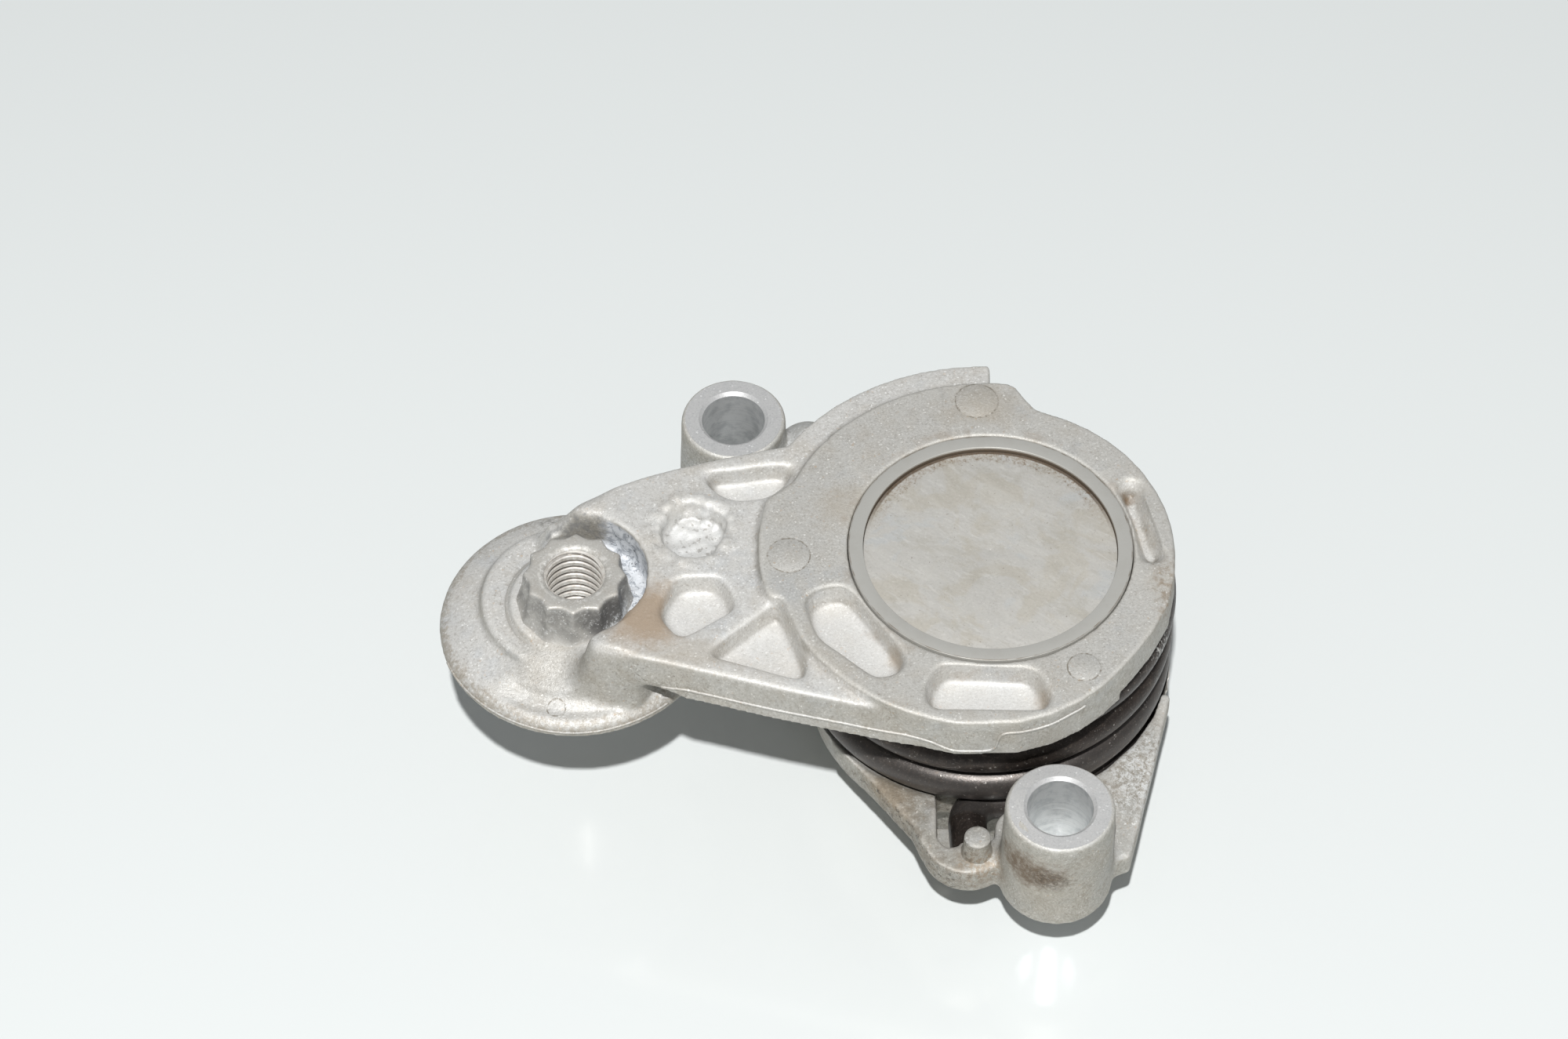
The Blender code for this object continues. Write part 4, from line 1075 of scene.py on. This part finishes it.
def spring_material():
    shade = Shade("spring_black", metallic=0.6)
    wear = shade.noise(3, 5, 0.7, 0.4)
    dust = shade.noise(0.9, 4, 0.7)
    grain = shade.noise(0.35, 3, 0.75)
    flakes = shade.range(shade.cells(0.26), 0.88, 0.92)
    # Painted highlight: the front of the lowest coil gets a lighter copy of the black finish
    low = shade.both(shade.along("Z", 28.5, 26.2), shade.along("Y", -32, -31))
    scratch = shade.both(
        shade.range(shade.noise(0.6, 3, 0.7, place=shade.mapped((1, 1, 4))), 0.54, 0.6),
        shade.patch((26, -12, 40), (6, 6, 4.5), 0.6, 0.4),
    )
    colour = shade.layers(
        (56, 50, 47),
        (shade.range(wear, 0.4, 0.7, 0, 0.6), (80, 71, 65)),
        (shade.both(low, 0.35), (112, 109, 107)),
        (shade.both(shade.range(dust, 0.56, 0.7), 0.4), (118, 106, 96)),
        (shade.range(grain, 0.56, 0.72, 0, 0.35), (150, 142, 134)),
        (shade.both(flakes, shade.range(dust, 0.42, 0.6), 0.55), (206, 202, 196)),
        (scratch, (196, 194, 190)),
    )
    normal = shade.bump(grain, 0.05, 0.6, shade.bump(dust, 0.04, 0.5))
    return shade.made(colour, shade.range(wear, 0.3, 0.7, 0.3, 0.42), normal)


def plain_material(name, colour, roughness, metallic, size=1.2):
    """A plain inner finish with a little variation."""
    shade = Shade(name, metallic=metallic)
    cloud = shade.noise(size, 4, 0.6)
    rough = shade.range(cloud, 0.3, 0.7, roughness - 0.06, roughness + 0.06)
    colour = shade.tinted(shade.range(cloud, 0.35, 0.7), colour, (0.7, 0.7, 0.7))
    return shade.made(colour, rough, shade.bump(cloud, 0.02, 0.4))


# Placing

def place(item, body, material, slot, *nodes):
    item.data.materials.clear()
    item.data.materials.append(material)
    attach(item, body)
    if nodes:
        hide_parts(*nodes)
    return item


def paint_inside(item, centre, radius, material):
    """Gives a second material to the faces within a radius of an upright axis."""
    item.data.materials.append(material)
    for face in item.data.polygons:
        middle = face.center / MM
        if (middle.x - centre[0]) ** 2 + (middle.y - centre[1]) ** 2 < radius ** 2:
            face.material_index = 1


ALLOY = "cast_aluminium"
cast_arm = arm_material()
arm_skin = place(arm_casting(), "arm", cast_arm, ALLOY, "tension_arm")
nut = place(nut_form(), "arm", nut_material(), ALLOY)
paint_inside(nut, ARM_END, 5.04, thread_material())

# Places along X and Z of the beads on the arm's front and back walls
FRONT_STATIONS = [(-53.4, 43.2), (-50.0, 43.9), (-10.0, 44.2), (-8.4, 43.5), (-6.6, 43.0), (-0.6, 43.0),
                  (0.3, 43.7), (0.7, 46.6), (1.6, 47.5), (6.5, 47.2), (11.5, 47.6), (15.0, 47.9)]
BACK_STATIONS = [(-58.0, 44.0), (-30.0, 44.2)]
for index, (centre, radius) in enumerate(MARKS[:3]):
    place(ejector_mark(f"ejector_mark_{index}", centre, radius, HEAD_TOP), "arm", cast_arm, ALLOY)
place(parting_line("front_parting", arm_skin, FRONT_STATIONS), "arm", cast_arm, ALLOY)
place(parting_line("back_parting", arm_skin, BACK_STATIONS, -1.0), "arm", cast_arm, ALLOY)
place(rim_line(), "arm", cast_arm, ALLOY)

lip = washer("ring_face", "friction_ring", RING_R + 0.15, RING_R - 2.25, 0.1)
place(lip, "arm", ring_material(), "plain_steel", "friction_ring")
disc = washer("disc_face", "front_plate", PLATE_R + 0.2, 0.0, 0.2)
place(disc, "base", disc_material(), "plate_steel", "front_plate")
cast_base = base_material()
place(base_casting(), "base", cast_base, ALLOY, "base_housing")
machined = machined_material()
bored = bore_material()
for name, centre in (("front_boss_face", FRONT_BOSS), ("back_boss_face", BACK_BOSS)):
    liner = place(boss_liner(name, centre, BASE_TOP), "base", machined, ALLOY)
    paint_inside(liner, centre, 5.4, bored)
place(post(), "base", cast_base, ALLOY)

coil = spring()
coil.data.materials.append(spring_material())
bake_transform(coil)
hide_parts("torsion_spring")

INNER_FINISHES = [
    (("bush_plastic_look", (96, 84, 68), 0.55, 0.0), ("lower_bush", "upper_bush", "spring_sleeve")),
    (("inner_steel", (170, 168, 164), 0.38, 0.85),
     ("pivot_shaft", "thrust_washer", "retaining_washer", "spring_washer")),
    (("seal_rubber_look", (34, 33, 33), 0.75, 0.0), ("dust_seal",)),
]
for look, nodes in INNER_FINISHES:
    finish = plain_material(*look)
    for node in nodes:
        frame["nodes"][node].data.materials.clear()
        frame["nodes"][node].data.materials.append(finish)


# Floor, light and camera

def floor():
    half, low = 2500, -0.02
    corners = [(-half, -half, low), (half, -half, low), (half, half, low), (-half, half, low)]
    mesh = mesh_of("floor", corners, [(0, 1, 2, 3)])
    item = new_object("floor", mesh)
    shade = Shade("floor_paint", specular=0.9)
    mesh.materials.append(shade.made((*linear(230, 234, 234), 1.0), 0.12))


def lamp(name, direction, distance, size, power, colour):
    """A square lamp that looks at the object's middle from the given direction."""
    data = bpy.data.lights.new(name, "AREA")
    data.size = size
    data.energy = power
    data.color = colour
    item = bpy.data.objects.new(name, data)
    scene.collection.objects.link(item)
    towards = Vector(direction).normalized()
    item.location = Vector((-0.02, 0.0, 0.03)) + towards * distance
    item.rotation_euler = towards.to_track_quat("Z", "Y").to_euler()


def world():
    setting = bpy.data.worlds.new("studio")
    setting.use_nodes = True
    setting.node_tree.nodes["Background"].inputs["Color"].default_value = (0.92, 0.95, 0.96, 1.0)
    setting.node_tree.nodes["Background"].inputs["Strength"].default_value = 0.24
    scene.world = setting


# The camera, solved from the photograph: the pivot's place at the head's top and the scale there
CAMERA_TILT = 51.66
CAMERA_ROLL = 0.35
PHOTO_WIDTH, PHOTO_HEIGHT = 2000, 1325
FOCAL_PIXELS = 6228.0
PIXELS_PER_MM = 7.81
PIVOT_PIXEL = (1263.5, 696.7)
SENSOR = 36.0


def camera():
    tilt, roll = radians(CAMERA_TILT), radians(CAMERA_ROLL)
    back = Vector((0, -cos(tilt), sin(tilt)))
    level, upward = Vector((1, 0, 0)), Vector((0, sin(tilt), cos(tilt)))
    right = level * cos(roll) + upward * sin(roll)
    up = upward * cos(roll) - level * sin(roll)
    across = (PIVOT_PIXEL[0] - PHOTO_WIDTH / 2) / PIXELS_PER_MM
    above = (PHOTO_HEIGHT / 2 - PIVOT_PIXEL[1]) / PIXELS_PER_MM
    eye = Vector((0, 0, HEAD_TOP)) + back * FOCAL_PIXELS / PIXELS_PER_MM - right * across - up * above
    data = bpy.data.cameras.new("camera")
    data.sensor_width = SENSOR
    data.lens = SENSOR * FOCAL_PIXELS / PHOTO_WIDTH
    data.clip_start = 0.01
    data.clip_end = 20
    item = bpy.data.objects.new("camera", data)
    scene.collection.objects.link(item)
    item.matrix_world = Matrix.Translation(eye * MM) @ Matrix((right, up, back)).transposed().to_4x4()
    scene.camera = item


floor()
lamp("key", direction=(-0.025, -0.367, 0.682), distance=1.25, size=0.025, power=16.9,
     colour=(1.0, 0.995, 0.985))
world()
camera()
